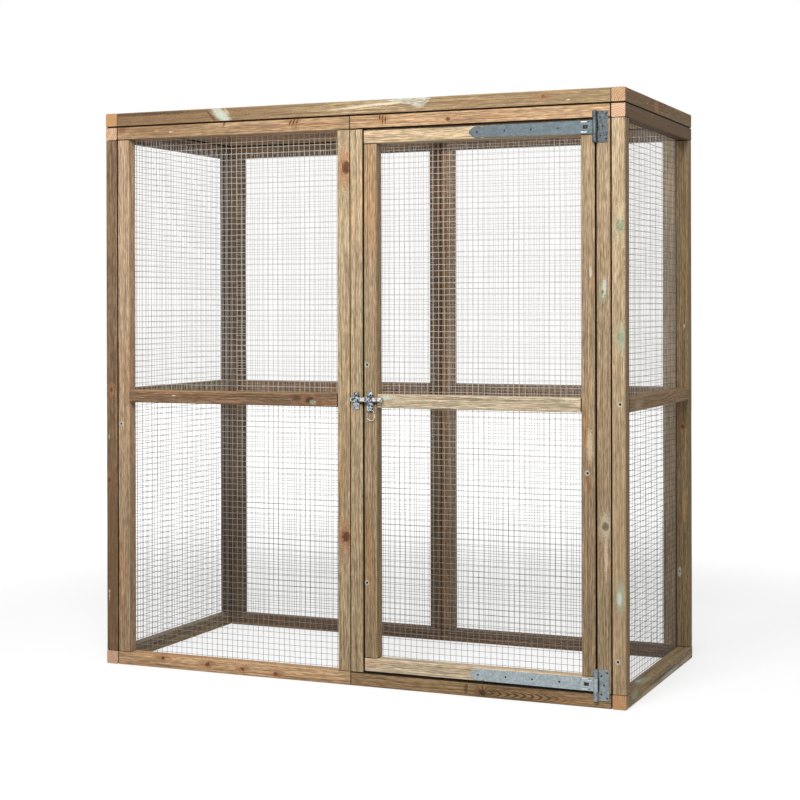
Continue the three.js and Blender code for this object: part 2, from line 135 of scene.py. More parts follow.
class Bench:
    """Mesh work with Blender's own tools, on one object at a time."""

    SMOOTH_ANGLE = math.radians(36)
    SHARP_ANGLE = math.radians(38)
    STRAIGHT = 0.9
    FACE_WEIGHT = 100
    TURNS = {Axis.X: (0, math.pi / 2, 0), Axis.Y: (math.pi / 2, 0, 0), Axis.Z: (0, 0, 0)}

    @staticmethod
    def pick_up(*things: Thing) -> None:
        """Selects these objects and nothing else; the first one is active."""
        bpy.ops.object.select_all(action="DESELECT")
        for thing in things:
            thing.select_set(True)
        bpy.context.view_layer.objects.active = things[0]

    @classmethod
    def settle(cls, thing: Thing, name: str) -> Thing:
        """Names an object and moves its place, turn and size into its mesh."""
        thing.name = thing.data.name = name
        cls.pick_up(thing)
        bpy.ops.object.transform_apply(location=True, rotation=True, scale=True)
        return thing

    @classmethod
    def block(cls, name: str, low: Vector, high: Vector) -> Thing:
        """Makes a block between its lowest and its highest corner."""
        low, high = Vector(low), Vector(high)
        bpy.ops.mesh.primitive_cube_add(size=1, location=(low + high) / 2, scale=high - low)
        return cls.settle(bpy.context.object, name)

    @classmethod
    def rod(
        cls, name: str, centre: Vector, radius: float, length: float, axis: Axis, sides: int
    ) -> Thing:
        """Makes a round bar with this many sides along an axis, round its centre."""
        bpy.ops.mesh.primitive_cylinder_add(
            vertices=sides, radius=radius, depth=length, location=centre, rotation=cls.TURNS[axis]
        )
        return cls.settle(bpy.context.object, name)

    @classmethod
    @contextmanager
    def editing(cls, thing: Thing, pick: Pick, wanted: Test = lambda part: True) -> Iterator[None]:
        """Opens an object in edit mode with the wanted parts selected.

        Args:
            thing: The object to edit.
            pick: The kind of part that is selected.
            wanted: Says for a vertex, edge or face whether it is selected.

        Yields:
            Nothing; the object is back in object mode afterwards.
        """
        cls.pick_up(thing)
        bpy.ops.object.mode_set(mode="EDIT")
        bpy.ops.mesh.select_mode(type=pick.name)
        bpy.ops.mesh.select_all(action="DESELECT")
        bpy.ops.object.mode_set(mode="OBJECT")
        parts = getattr(thing.data, pick.value)
        parts.foreach_set("select", [bool(wanted(part)) for part in parts])
        bpy.ops.object.mode_set(mode="EDIT")
        yield
        bpy.ops.object.mode_set(mode="OBJECT")

    @classmethod
    def runs_along(cls, thing: Thing, axis: Axis) -> Test:
        """Returns a test for the edges that run along an axis."""

        def test(edge: bpy.types.MeshEdge) -> bool:
            """Says whether the edge runs along the axis."""
            start, end = (thing.data.vertices[index].co for index in edge.vertices)
            return abs((end - start)[axis.value]) > cls.STRAIGHT * (end - start).length

        return test

    @staticmethod
    def lies_at(thing: Thing, axis: Axis, *places: float) -> Test:
        """Returns a test for the edges that lie wholly at one of these places on an axis."""

        def test(edge: bpy.types.MeshEdge) -> bool:
            """Says whether both ends of the edge are at the same one of the places."""
            ends = [thing.data.vertices[index].co[axis.value] for index in edge.vertices]
            return any(all(abs(end - place) < NEAR for end in ends) for place in places)

        return test

    @classmethod
    def bevel(cls, thing: Thing, wanted: Test, width: float, segments: int) -> None:
        """Rounds the wanted edges of an object."""
        with cls.editing(thing, Pick.EDGE, wanted):
            bpy.ops.mesh.bevel(offset=width, segments=segments, affect="EDGES")

    @classmethod
    def split(cls, thing: Thing, axis: Axis, cuts: int) -> None:
        """Cuts the edges that run along an axis into equal lengths."""
        with cls.editing(thing, Pick.EDGE, cls.runs_along(thing, axis)):
            bpy.ops.mesh.subdivide(number_cuts=cuts)

    @classmethod
    def slice(cls, thing: Thing, places: Iterable[float]) -> None:
        """Cuts the faces of an object through at these places on the X axis."""
        with cls.editing(thing, Pick.FACE):
            for place in places:
                bpy.ops.mesh.select_all(action="SELECT")
                bpy.ops.mesh.bisect(plane_co=(place, 0, 0), plane_no=(1, 0, 0))

    @classmethod
    def change(cls, thing: Thing, kind: str, **settings: object) -> None:
        """Adds a modifier with these settings and applies it."""
        cls.pick_up(thing)
        modifier = thing.modifiers.new(kind.lower(), kind)
        for key, value in settings.items():
            setattr(modifier, key, value)
        bpy.ops.object.modifier_apply(modifier=modifier.name)

    @classmethod
    def combine(cls, thing: Thing, operation: str, *others: Thing) -> None:
        """Adds (UNION) or cuts out (DIFFERENCE) the other shapes and uses them up."""
        for other in others:
            cls.change(thing, "BOOLEAN", operation=operation, object=other, solver="EXACT")
            bpy.data.objects.remove(other)

    @classmethod
    def ease(cls, thing: Thing, width: float, segments: int = 2) -> None:
        """Rounds every sharp edge of an object a little."""
        cls.change(
            thing, "BEVEL", width=width, segments=segments, limit_method="ANGLE",
            angle_limit=cls.SHARP_ANGLE, use_clamp_overlap=True, harden_normals=False,
        )

    @classmethod
    def smooth(cls, thing: Thing) -> Thing:
        """Shades an object smooth, apart from its sharp edges."""
        cls.pick_up(thing)
        bpy.ops.object.shade_smooth_by_angle(angle=cls.SMOOTH_ANGLE)
        cls.change(thing, "WEIGHTED_NORMAL", weight=cls.FACE_WEIGHT, keep_sharp=True)
        return thing

    @classmethod
    def join(cls, name: str, *things: Thing) -> Thing:
        """Puts objects together as one, under a new name."""
        cls.pick_up(*things)
        if len(things) > 1:
            bpy.ops.object.join()
        made = bpy.context.view_layer.objects.active
        made.name = made.data.name = name
        return made

    @classmethod
    def copy(cls, thing: Thing, name: str, place: Matrix) -> Thing:
        """Copies an object with its own mesh and moves the copy by a matrix."""
        cls.pick_up(thing)
        bpy.ops.object.duplicate(linked=False)
        made = bpy.context.view_layer.objects.active
        made.matrix_world = place
        return cls.settle(made, name)

    @classmethod
    def repeat(cls, thing: Thing, count: int, step: Vector) -> Thing:
        """Repeats an object's mesh in a row."""
        cls.change(
            thing, "ARRAY", count=count, use_relative_offset=False, use_constant_offset=True,
            constant_offset_displace=step,
        )
        return thing

    @classmethod
    def ripple(cls, thing: Thing, depth: float, grain: float, way: str, middle: float) -> None:
        """Bends a surface by soft noise.

        Args:
            thing: The object to bend.
            depth: How far the noise reaches.
            grain: The size of the noise's lumps.
            way: NORMAL, X, Y or Z.
            middle: The level of the noise that stays where it is.
        """
        texture = bpy.data.textures.new("ripple", "CLOUDS")
        texture.noise_scale = grain
        texture.noise_depth = 1
        cls.change(
            thing, "DISPLACE", texture=texture, strength=depth, mid_level=middle,
            direction=way, texture_coords="LOCAL",
        )


class Signal:
    """A number, vector or colour that a node gives out, which can be calculated with."""

    def __init__(self, recipe: "Recipe", socket: bpy.types.NodeSocket) -> None:
        """Keeps the recipe and the outlet."""
        self.recipe = recipe
        self.socket = socket
        self.number = socket.type == "VALUE"

    def run(self, operation: str, *others: "Feed") -> "Signal":
        """Calculates with this signal first and the others after it."""
        kind = "ShaderNodeMath" if self.number else "ShaderNodeVectorMath"
        made = self.recipe.node(kind, operation=operation)
        inlets = [made.inputs[0], made.inputs["Scale"]] if operation == "SCALE" else made.inputs
        for inlet, value in zip(inlets, (self, *others)):
            self.recipe.feed(inlet, value)
        number = self.number or operation in ("LENGTH", "DOT_PRODUCT")
        return Signal(self.recipe, made.outputs["Value" if number else "Vector"])

    def __mul__(self, other: "Feed") -> "Signal":
        """Multiplies by a number or, part by part, by a vector."""
        number = other.number if isinstance(other, Signal) else isinstance(other, float)
        return self.run("SCALE" if number and not self.number else "MULTIPLY", other)

    __add__ = partialmethod(run, "ADD")
    __sub__ = partialmethod(run, "SUBTRACT")
    __truediv__ = partialmethod(run, "DIVIDE")
    __abs__ = partialmethod(run, "ABSOLUTE")
    length = partialmethod(run, "LENGTH")
    dot = partialmethod(run, "DOT_PRODUCT")
    larger = partialmethod(run, "MAXIMUM")
    smaller = partialmethod(run, "MINIMUM")
    whole = partialmethod(run, "FLOOR")
    fraction = partialmethod(run, "FRACT")

    def smooth(
        self, start: "Feed", end: "Feed", low: float = 0.0, high: float = 1.0
    ) -> "Signal":
        """Goes softly from low to high as this signal goes from start to end."""
        made = self.recipe.node("ShaderNodeMapRange", interpolation_type="SMOOTHSTEP")
        for inlet, value in zip(made.inputs, (self, start, end, low, high)):
            self.recipe.feed(inlet, value)
        return Signal(self.recipe, made.outputs[0])

    def falling(self, start: "Feed", end: "Feed") -> "Signal":
        """Goes softly from 1 to 0 as this signal goes from start to end."""
        return self.smooth(start, end, 1.0, 0.0)

    def parts(self) -> list["Signal"]:
        """Splits a vector into its three numbers."""
        made = self.recipe.node("ShaderNodeSeparateXYZ")
        self.recipe.feed(made.inputs[0], self)
        return [Signal(self.recipe, outlet) for outlet in made.outputs]


Feed = float | tuple[float, ...] | Signal


class Recipe:
    """Writes the nodes of one material or shader group."""

    MIX_INLETS = (0, 6, 7)

    def __init__(self, tree: bpy.types.NodeTree) -> None:
        """Keeps the tree that the nodes go into."""
        self.tree = tree

    @classmethod
    def on(cls, owner: Finish | bpy.types.World) -> "Recipe":
        """Empties the nodes of a new material or world and starts its recipe."""
        owner.use_nodes = True
        owner.node_tree.nodes.clear()
        return cls(owner.node_tree)

    def node(self, kind: str, **settings: object) -> bpy.types.Node:
        """Adds a node with these settings."""
        made = self.tree.nodes.new(kind)
        for key, value in settings.items():
            setattr(made, key, value)
        return made

    def feed(self, inlet: bpy.types.NodeSocket, value: Feed) -> None:
        """Links an inlet to a signal, or sets its value."""
        if isinstance(value, Signal):
            self.tree.links.new(value.socket, inlet)
            return
        inlet.default_value = (*value[:3], 1.0) if inlet.type == "RGBA" else value

    def outlet(self, kind: str, name: str | int, **inlets: Feed) -> Signal:
        """Adds a node with these inlets, whose spaces are underscores, and returns an outlet."""
        made = self.node(kind)
        for key, value in inlets.items():
            self.feed(made.inputs[key.replace("_", " ")], value)
        return Signal(self, made.outputs[name])

    def spot(self) -> Signal:
        """Returns the place of a shaded point, in the object's own coordinates."""
        return self.outlet("ShaderNodeTexCoord", "Object")

    def joined(self, *parts: Signal) -> Signal:
        """Makes a vector of three numbers."""
        return self.outlet("ShaderNodeCombineXYZ", 0, **dict(zip("XYZ", parts)))

    def noise(
        self, place: Signal, scale: float, detail: float = 2.0, output: str = "Fac"
    ) -> Signal:
        """Adds soft noise, which keeps to the range from 0 to 1."""
        return self.outlet(
            "ShaderNodeTexNoise", output, Vector=place, Scale=scale, Detail=detail
        )

    def mix(self, share: Feed, first: Feed, second: Feed, mode: str = "MIX") -> Signal:
        """Mixes two colours."""
        made = self.node("ShaderNodeMix", data_type="RGBA", blend_type=mode)
        for index, value in zip(self.MIX_INLETS, (share, first, second)):
            self.feed(made.inputs[index], value)
        return Signal(self, made.outputs[2])

    def group(self, tree: bpy.types.NodeTree, **values: Feed) -> dict[str, Signal]:
        """Places a shader group and returns its outputs by their names."""
        made = self.node("ShaderNodeGroup", node_tree=tree)
        for key, value in values.items():
            self.feed(made.inputs[key], value)
        return {outlet.name: Signal(self, outlet) for outlet in made.outputs}

    def bump(self, strength: float, depth: float, height: Signal) -> Signal:
        """Turns heights into the normals of a fine relief."""
        return self.outlet(
            "ShaderNodeBump", 0, Strength=strength, Distance=depth, Height=height
        )

    def end(self, owner: str, shader: str, **inlets: Feed) -> None:
        """Ends a Material or a World with a shader."""
        surface = self.node(f"ShaderNodeOutput{owner}").inputs["Surface"]
        self.feed(surface, self.outlet(f"ShaderNode{shader}", 0, **inlets))


class Effects:
    """The shader groups that the finishes share, each built once.

    The three numbers of a grain are the noise's density along, across and through the wood.
    """

    WANDER_GRAIN = (1.9, 6.0, 6.0)
    WANDER_REACH = (0.0, 0.034, 0.034)
    FIBRE_GRAIN = (6.0, 420.0, 420.0)
    STREAK_GRAIN = (1.9, 180.0, 180.0)
    CLOUD_GRAIN = (2.4, 19.0, 19.0)
    MOTTLE_GRAIN = (34.0, 330.0, 330.0)
    BRUSH_GRAIN = (60.0, 900.0, 900.0)
    SPECK_GRAIN = 330.0
    ZINC_CLOUD_GRAIN = 46.0
    SEED_SHARE = 61.0
    SIDEWAYS = (0.0, 1.0, 1.0)
    CORE_OVAL = (0.8, 1.0, 1.0)
    HALO_OVAL = (0.42, 1.0, 1.0)
    RING_RISE = (0.2, 0.88)
    RING_FALL = (0.92, 1.0)
    RING_WAVE = 0.3
    YEAR_SPREAD = 0.6
    YEAR_LEAST = 0.4
    STREAK_RANGE = (0.5, 0.7)
    CORE_RANGE = (0.6, 1.15)
    CORE_WAVE = 2.2
    RIM_RADIUS = 0.95
    RIM_RANGE = (0.04, 0.3)
    HALO_RANGE = (0.4, 3.4)
    HALO_WAVE = 3.6
    KNOT_WARP = 0.8
    ARCH_BEND = 260.0
    ARCH_PITCH = 0.026
    ARCH_WAVE = 0.5
    ARCH_LINE = (0.1, 0.3)
    ARCH_START = (0.002, 0.03)
    ARCH_END = (0.55, 1.0)
    STAIN_RANGE = (0.5, 1.15)
    STAIN_WAVE = 1.5
    SPECK_RANGE = (0.3, 0.52, 0.35, 1.0)
    WEAR_RANGE = (0.3, 0.75, 0.35, 1.0)
    ARRIS_START = 0.0046
    ARRIS_END = 0.0014
    JOINT_WAVE = 0.0012
    JOINT_EDGE = 0.0009
    SCRATCH_RANGE = (0.52, 0.72)

    def __init__(self) -> None:
        """Builds every group."""
        self.grain = self._grain()
        self.knot = self._knot()
        self.arches = self._arches()
        self.stain = self._stain()
        self.arris = self._arris()
        self.joint = self._joint()
        self.zinc = self._zinc()

    @staticmethod
    def _open(name: str, vectors: str, numbers: str) -> tuple[Recipe | Signal, ...]:
        """Starts a group.

        Args:
            name: The group's name.
            vectors: The names of the inputs that are vectors.
            numbers: The names of the inputs that are numbers.

        Returns:
            The recipe and a signal for each input, in the order of the names.
        """
        tree = bpy.data.node_groups.new(name, "ShaderNodeTree")
        for names, kind in ((vectors, "Vector"), (numbers, "Float")):
            for key in names.split():
                tree.interface.new_socket(key, in_out="INPUT", socket_type=f"NodeSocket{kind}")
        recipe = Recipe(tree)
        start = recipe.node("NodeGroupInput")
        given = f"{vectors} {numbers}".split()
        return recipe, *(Signal(recipe, start.outputs[key]) for key in given)

    @staticmethod
    def _close(recipe: Recipe, **outlets: Signal) -> bpy.types.NodeTree:
        """Ends a group with these outputs."""
        for key, signal in outlets.items():
            kind = "NodeSocketFloat" if signal.number else "NodeSocketVector"
            recipe.tree.interface.new_socket(key, in_out="OUTPUT", socket_type=kind)
        end = recipe.node("NodeGroupOutput")
        for key, signal in outlets.items():
            recipe.feed(end.inputs[key], signal)
        return recipe.tree

    def _grain(self) -> bpy.types.NodeTree:
        """Yearly rings round a wandering pith, fibres, dark streaks and soft clouds."""
        recipe, place, pith, pitch = self._open("pine_grain", "place pith", "pitch")
        seed = pith * self.SEED_SHARE
        wander = recipe.noise(place * self.WANDER_GRAIN + seed, 1.0, 2.0, "Color") - (0.5,) * 3
        centred = place - pith - wander * self.WANDER_REACH
        radius = (centred * self.SIDEWAYS).length()
        fibre = recipe.noise(place * self.FIBRE_GRAIN + seed, 1.0, 3.0)
        turns = fibre * self.RING_WAVE + radius / pitch
        share = turns.fraction()
        year = recipe.node("ShaderNodeTexWhiteNoise", noise_dimensions="1D")
        recipe.feed(year.inputs["W"], turns.whole())
        weight = Signal(recipe, year.outputs["Value"]) * self.YEAR_SPREAD + self.YEAR_LEAST
        streak = recipe.noise(place * self.STREAK_GRAIN + seed, 1.0, 3.0)
        return self._close(
            recipe,
            rings=share.smooth(*self.RING_RISE) * share.falling(*self.RING_FALL) * weight,
            fibre=fibre,
            streak=streak.smooth(*self.STREAK_RANGE),
            cloud=recipe.noise(place * self.CLOUD_GRAIN + seed, 1.0, 3.0),
            mottle=recipe.noise(place * self.MOTTLE_GRAIN + seed, 1.0, 2.0),
        )

    def _knot(self) -> bpy.types.NodeTree:
        """A knot round the line of its branch, and the bend that it gives the grain."""
        recipe, place, centre, branch, radius, ragged = self._open(
            "pine_knot", "place centre branch", "radius ragged"
        )
        offset = place - centre
        across = offset - branch * offset.dot(branch)
        uneven = ragged - 0.5
        share = uneven * self.CORE_WAVE + (across * self.CORE_OVAL).length() / radius
        spread = uneven * self.HALO_WAVE + (across * self.HALO_OVAL).length() / radius
        halo = spread.falling(*self.HALO_RANGE)
        return self._close(
            recipe,
            core=share.falling(*self.CORE_RANGE),
            rim=abs(share - self.RIM_RADIUS).falling(*self.RIM_RANGE),
            halo=halo,
            warp=across * self.SIDEWAYS * (halo * self.KNOT_WARP),
        )

    def _arches(self) -> bpy.types.NodeTree:
        """Dark growth lines in nested arches that start at a big knot."""
        recipe, place, centre, reach, ragged = self._open(
            "pine_arches", "place centre", "reach ragged"
        )
        along, across, _ = (place - centre).parts()
        bent = along + across * across * self.ARCH_BEND
        turns = ragged * self.ARCH_WAVE + bent / self.ARCH_PITCH
        line = abs(turns.fraction() - 0.5).falling(*self.ARCH_LINE)
        near = along.smooth(*self.ARCH_START)
        far = (along / reach).falling(*self.ARCH_END)
        return self._close(recipe, mask=line * near * far)

    def _stain(self) -> bpy.types.NodeTree:
        """A soft patch with a ragged edge, which may slant across the grain."""
        recipe, place, centre, reach, slant, ragged = self._open(
            "pine_stain", "place centre reach", "slant ragged"
        )
        along, across, through = (place - centre).parts()
        leaning = recipe.joined(along - slant * across, across, through) / reach
        far = (ragged - 0.5) * self.STAIN_WAVE + leaning.length()
        speck = recipe.noise(place, self.SPECK_GRAIN, 1.0).smooth(*self.SPECK_RANGE)
        return self._close(recipe, mask=far.falling(*self.STAIN_RANGE) * speck)

    def _arris(self) -> bpy.types.NodeTree:
        """The wear along the long edges of a batten."""
        recipe, place, half, ragged = self._open("arris_wear", "place", "half ragged")
        _, across, through = abs(place).parts()
        edge = across.smaller(through).smooth(half - self.ARRIS_START, half - self.ARRIS_END)
        return self._close(recipe, mask=edge * ragged.smooth(*self.WEAR_RANGE))

    def _joint(self) -> bpy.types.NodeTree:
        """The dirt and shade in the joint on one side of a batten."""
        recipe, place, facing, start, ragged = self._open(
            "joint_grime", "place facing", "start ragged"
        )
        uneven = ragged * self.JOINT_WAVE + start
        reach = place.dot(facing)
        return self._close(recipe, mask=reach.smooth(uneven, uneven + self.JOINT_EDGE))

    def _zinc(self) -> bpy.types.NodeTree:
        """The crystals, dull clouds and fine scratches of a zinc coat."""
        recipe, place, crystal = self._open("zinc_coat", "place", "crystal")
        cells = recipe.outlet("ShaderNodeTexVoronoi", "Color", Vector=place, Scale=crystal)
        return self._close(
            recipe,
            shade=cells.parts()[0],
            cloud=recipe.noise(place, self.ZINC_CLOUD_GRAIN, 3.0),
            scratch=recipe.noise(place * self.BRUSH_GRAIN, 1.0, 3.0).smooth(*self.SCRATCH_RANGE),
        )


class Tint(Enum):
    """The tints of stains and flecks, and of painted shade, each with how fully it covers."""

    GREEN = ((0.42, 0.47, 0.33), 0.75)
    CREAM = ((0.74, 0.57, 0.38), 0.8)
    WHITE = ((0.72, 0.68, 0.57), 0.85)
    PALE_GREEN = ((0.66, 0.72, 0.6), 0.95)
    RED = ((0.3, 0.1, 0.045), 0.75)
    DARK = ((0.07, 0.038, 0.022), 0.8)
    ORANGE = ((0.6, 0.32, 0.13), 0.7)
    RUST = ((0.42, 0.2, 0.09), 0.7)
    SCAR = ((0.13, 0.035, 0.016), 1.0)
    BLOND = ((0.56, 0.36, 0.21), 0.4)
    BARE = ((0.8, 0.68, 0.52), 1.0)
    UMBER = ((0.19, 0.11, 0.05), 0.7)
    WARM = ((0.27, 0.16, 0.08), 0.5)
    # Painted shade, for gaps, windows and shadows that show dark.
    SHADE = ((0.012, 0.01, 0.009), 1.0)


class Tone(Enum):
    """The main colours of the treated pine."""

    HONEY = (0.49, 0.315, 0.175)
    ROSY = (0.52, 0.36, 0.23)
    PALE = (0.53, 0.395, 0.245)
    CREAMY = (0.56, 0.455, 0.315)
    GREYED = (0.43, 0.31, 0.19)
    OLIVE = (0.37, 0.265, 0.15)
    RUSSET = (0.31, 0.19, 0.11)
    AMBER = (0.32, 0.205, 0.105)
    BROWN = (0.27, 0.175, 0.105)
    SOOTY = (0.2, 0.125, 0.075)


@dataclass(frozen=True)
class Mark:
    """Something on one side of a batten; all sizes and places are in millimetres."""

    first: float
    second: float
    side: Side = field(default=Side.FRONT, kw_only=True)


@dataclass(frozen=True)
class Knot(Mark):
    """A knot."""

    radius: float
    core: Colour = (0.15, 0.055, 0.03)
    halo: Colour = (0.42, 0.19, 0.085)


@dataclass(frozen=True)
class Stain(Mark):
    """A stain or fleck, or a patch of painted shade or shadow."""

    length: float
    width: float
    tint: Tint
    slant: float = 0.0


@dataclass(frozen=True)
class Pit(Stain):
    """A sunk screw with a pale ring."""

    length: float = 9
    width: float = 9
    tint: Tint = Tint.WHITE


@dataclass(frozen=True)
class Arches(Mark):
    """Dark growth lines that start at a big knot."""

    reach: float


@dataclass(frozen=True)
class Grown:
    """How one batten grew and weathered."""

    tone: Tone
    shade: float = 1.0
    marks: tuple[Mark, ...] = ()
    end_grain: Colour = (0.7, 0.46, 0.29)
    chance_knots: int = 0
    rings: float | None = None


class Timber:
    """One batten's box, and its own directions: along the grain, across it and through it."""

    KNOT_MARGIN = 8 * MM
    KNOT_RADII = (3.0, 6.5)
    KNOT_CORE = (0.13, 0.055, 0.032)
    HALO_REDS = (0.3, 0.42)
    HALO_REST = (0.17, 0.08)

    def __init__(self, node: str) -> None:
        """Measures the batten of a CAD node."""
        self.node = node
        self.grown = GROWTH[node]
        self.low, self.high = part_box(node)
        self.size = self.high - self.low
        self.grain = Axis.longest(self.size)
        others = {Axis.X: (2, 1), Axis.Y: (2, 0), Axis.Z: (0, 1)}[self.grain]
        self.order = (self.grain.value, *others)

    def turned(self, vector: Vector) -> Vector:
        """Puts a vector's parts in the batten's own order."""
        return Vector([vector[axis] for axis in self.order])

    def spot(self, mark: Mark) -> Vector:
        """Finds a mark's place in metres."""
        point = [mark.first * MM, mark.second * MM]
        point.insert(mark.side.axis.value, mark.side.level(self.low, self.high))
        return Vector(point)

    def own_spot(self, mark: Mark, shift: Vector) -> Colour:
        """Finds a mark's place from the batten's middle, in its own order and shifted."""
        middle = (self.low + self.high) / 2
        return tuple(self.turned(self.spot(mark) - middle) + shift)

    def touching(self, gap: float = 0.003, least: float = 0.5) -> list[Side]:
        """Finds the sides that lie against other battens.

        Args:
            gap: The widest gap that still counts.
            least: The share of the side that has to be covered.

        Returns:
            The sides.
        """
        found = []
        for side in Side:
            axis = side.axis.value
            way = sum(side.value)
            edge = side.level(self.low, self.high)
            across = [index for index in range(3) if index != axis]
            covered = 0.0
            for other in GROWTH:
                start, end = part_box(other)
                away = way * ((start if way > 0 else end)[axis] - edge)
                if other == self.node or not -MM < away < gap:
                    continue
                covered += math.prod(
                    max(0.0, min(self.high[i], end[i]) - max(self.low[i], start[i]))
                    for i in across
                )
            if covered > least * math.prod(self.size[i] for i in across):
                found.append(side)
        return found

    def chance_knots(self, chance: random.Random) -> list[Knot]:
        """Scatters a few small knots over the batten, by its own random numbers."""
        sides = [side for side in Side if side.axis is not self.grain]
        margin, found = self.KNOT_MARGIN, []
        for _ in range(self.grown.chance_knots):
            side = chance.choice(sides)
            spot = [
                chance.uniform(self.low[i] + margin, self.high[i] - margin) / MM for i in range(3)
            ]
            del spot[side.axis.value]
            radius = chance.uniform(*self.KNOT_RADII)
            halo = (chance.uniform(*self.HALO_REDS), *self.HALO_REST)
            found.append(Knot(*spot, radius, self.KNOT_CORE, halo, side=side))
        return found


def shaded(colour: Colour | Vector, shares: float | Colour) -> Colour:
    """Makes a colour lighter or darker by one share, or by one for each of its parts."""
    shares = (shares,) * 3 if isinstance(shares, float) else shares
    return tuple(min(1.0, part * share) for part, share in zip(colour, shares))


@dataclass(frozen=True)
class PineFinish:
    """The planed, pressure-treated pine of the battens."""

    early: Colour = (1.18, 1.19, 1.2)
    late: Colour = (0.52, 0.44, 0.37)
    bare: Colour = (0.44, 0.4, 0.32)
    bare_late: Colour = (0.8, 0.78, 0.72)
    ring_contrast: Pair = (0.4, 0.75)
    ring_pitch: Pair = (0.0046, 0.0074)
    pith_reach: Pair = (0.006, 0.045)
    ragged_grain: float = 230.0
    streak: Colour = (0.5, 0.4, 0.32)
    streak_cover: float = 0.55
    fibre_light: Four = (0.32, 0.68, 0.68, 1.28)
    mottle_light: Four = (0.3, 0.7, 0.68, 1.3)
    clouds: tuple[tuple[Colour, float, float], ...] = (
        ((1.06, 0.82, 0.62), 0.53, 0.72), ((0.78, 0.88, 0.82), 0.47, 0.28),
    )
    cloud_cover: float = 0.55
    knot_covers: Three = (0.7, 0.9, 0.6)
    shift: float = 30.0
    # Painted shade: how much upright battens darken towards the floor, and between which heights.
    painted_foot_shade: Colour = (0.8, 0.79, 0.75)
    painted_foot_heights: Pair = (0.25, 1.5)
    arch_tint: Colour = (0.09, 0.045, 0.02)
    arch_cover: float = 0.92
    wear_cover: float = 0.3
    wear_light: float = 1.5
    branch_lean: Colour = (0.25, 0.1, 0.1)
    stain_depth: float = 0.006
    end_dark: Colour = (0.6, 0.42, 0.3)
    end_mottle: Colour = (0.72, 0.62, 0.52)
    # Dirt and painted shade in the joints between battens, darker deeper into the door's gap.
    dirt_and_shade: Colour = (0.028, 0.014, 0.007)
    dirt_and_shade_covers: Pair = (0.97, 0.7)
    gap_shade_depths: Pair = (0.006, 0.014)
    joint_reach: float = 0.004
    side_share: float = 0.6
    door_gap: float = 0.0045
    half: float = 0.022
    roughness: float = 0.55
    roughness_spread: float = 0.22
    shine: float = 0.15
    relief: Three = (0.8, -0.45, -0.8)
    end_marking: Four = (0.42, 0.62, 0.0, 0.5)
    end_facing: Pair = (0.6, 0.8)
    bump: float = 0.35
    bump_depth: float = 0.0009

    def material(self, timber: Timber, effects: Effects, cut: bool = False) -> Finish:
        """Makes the material of one batten.

        Args:
            timber: The batten, with its tone, knots and stains.
            effects: The shared shader groups.
            cut: True for the pale wood under the bark.

        Returns:
            The material, whose pattern lies in the batten's own directions.
        """
        return PineCoat(self, timber, effects).made(cut)


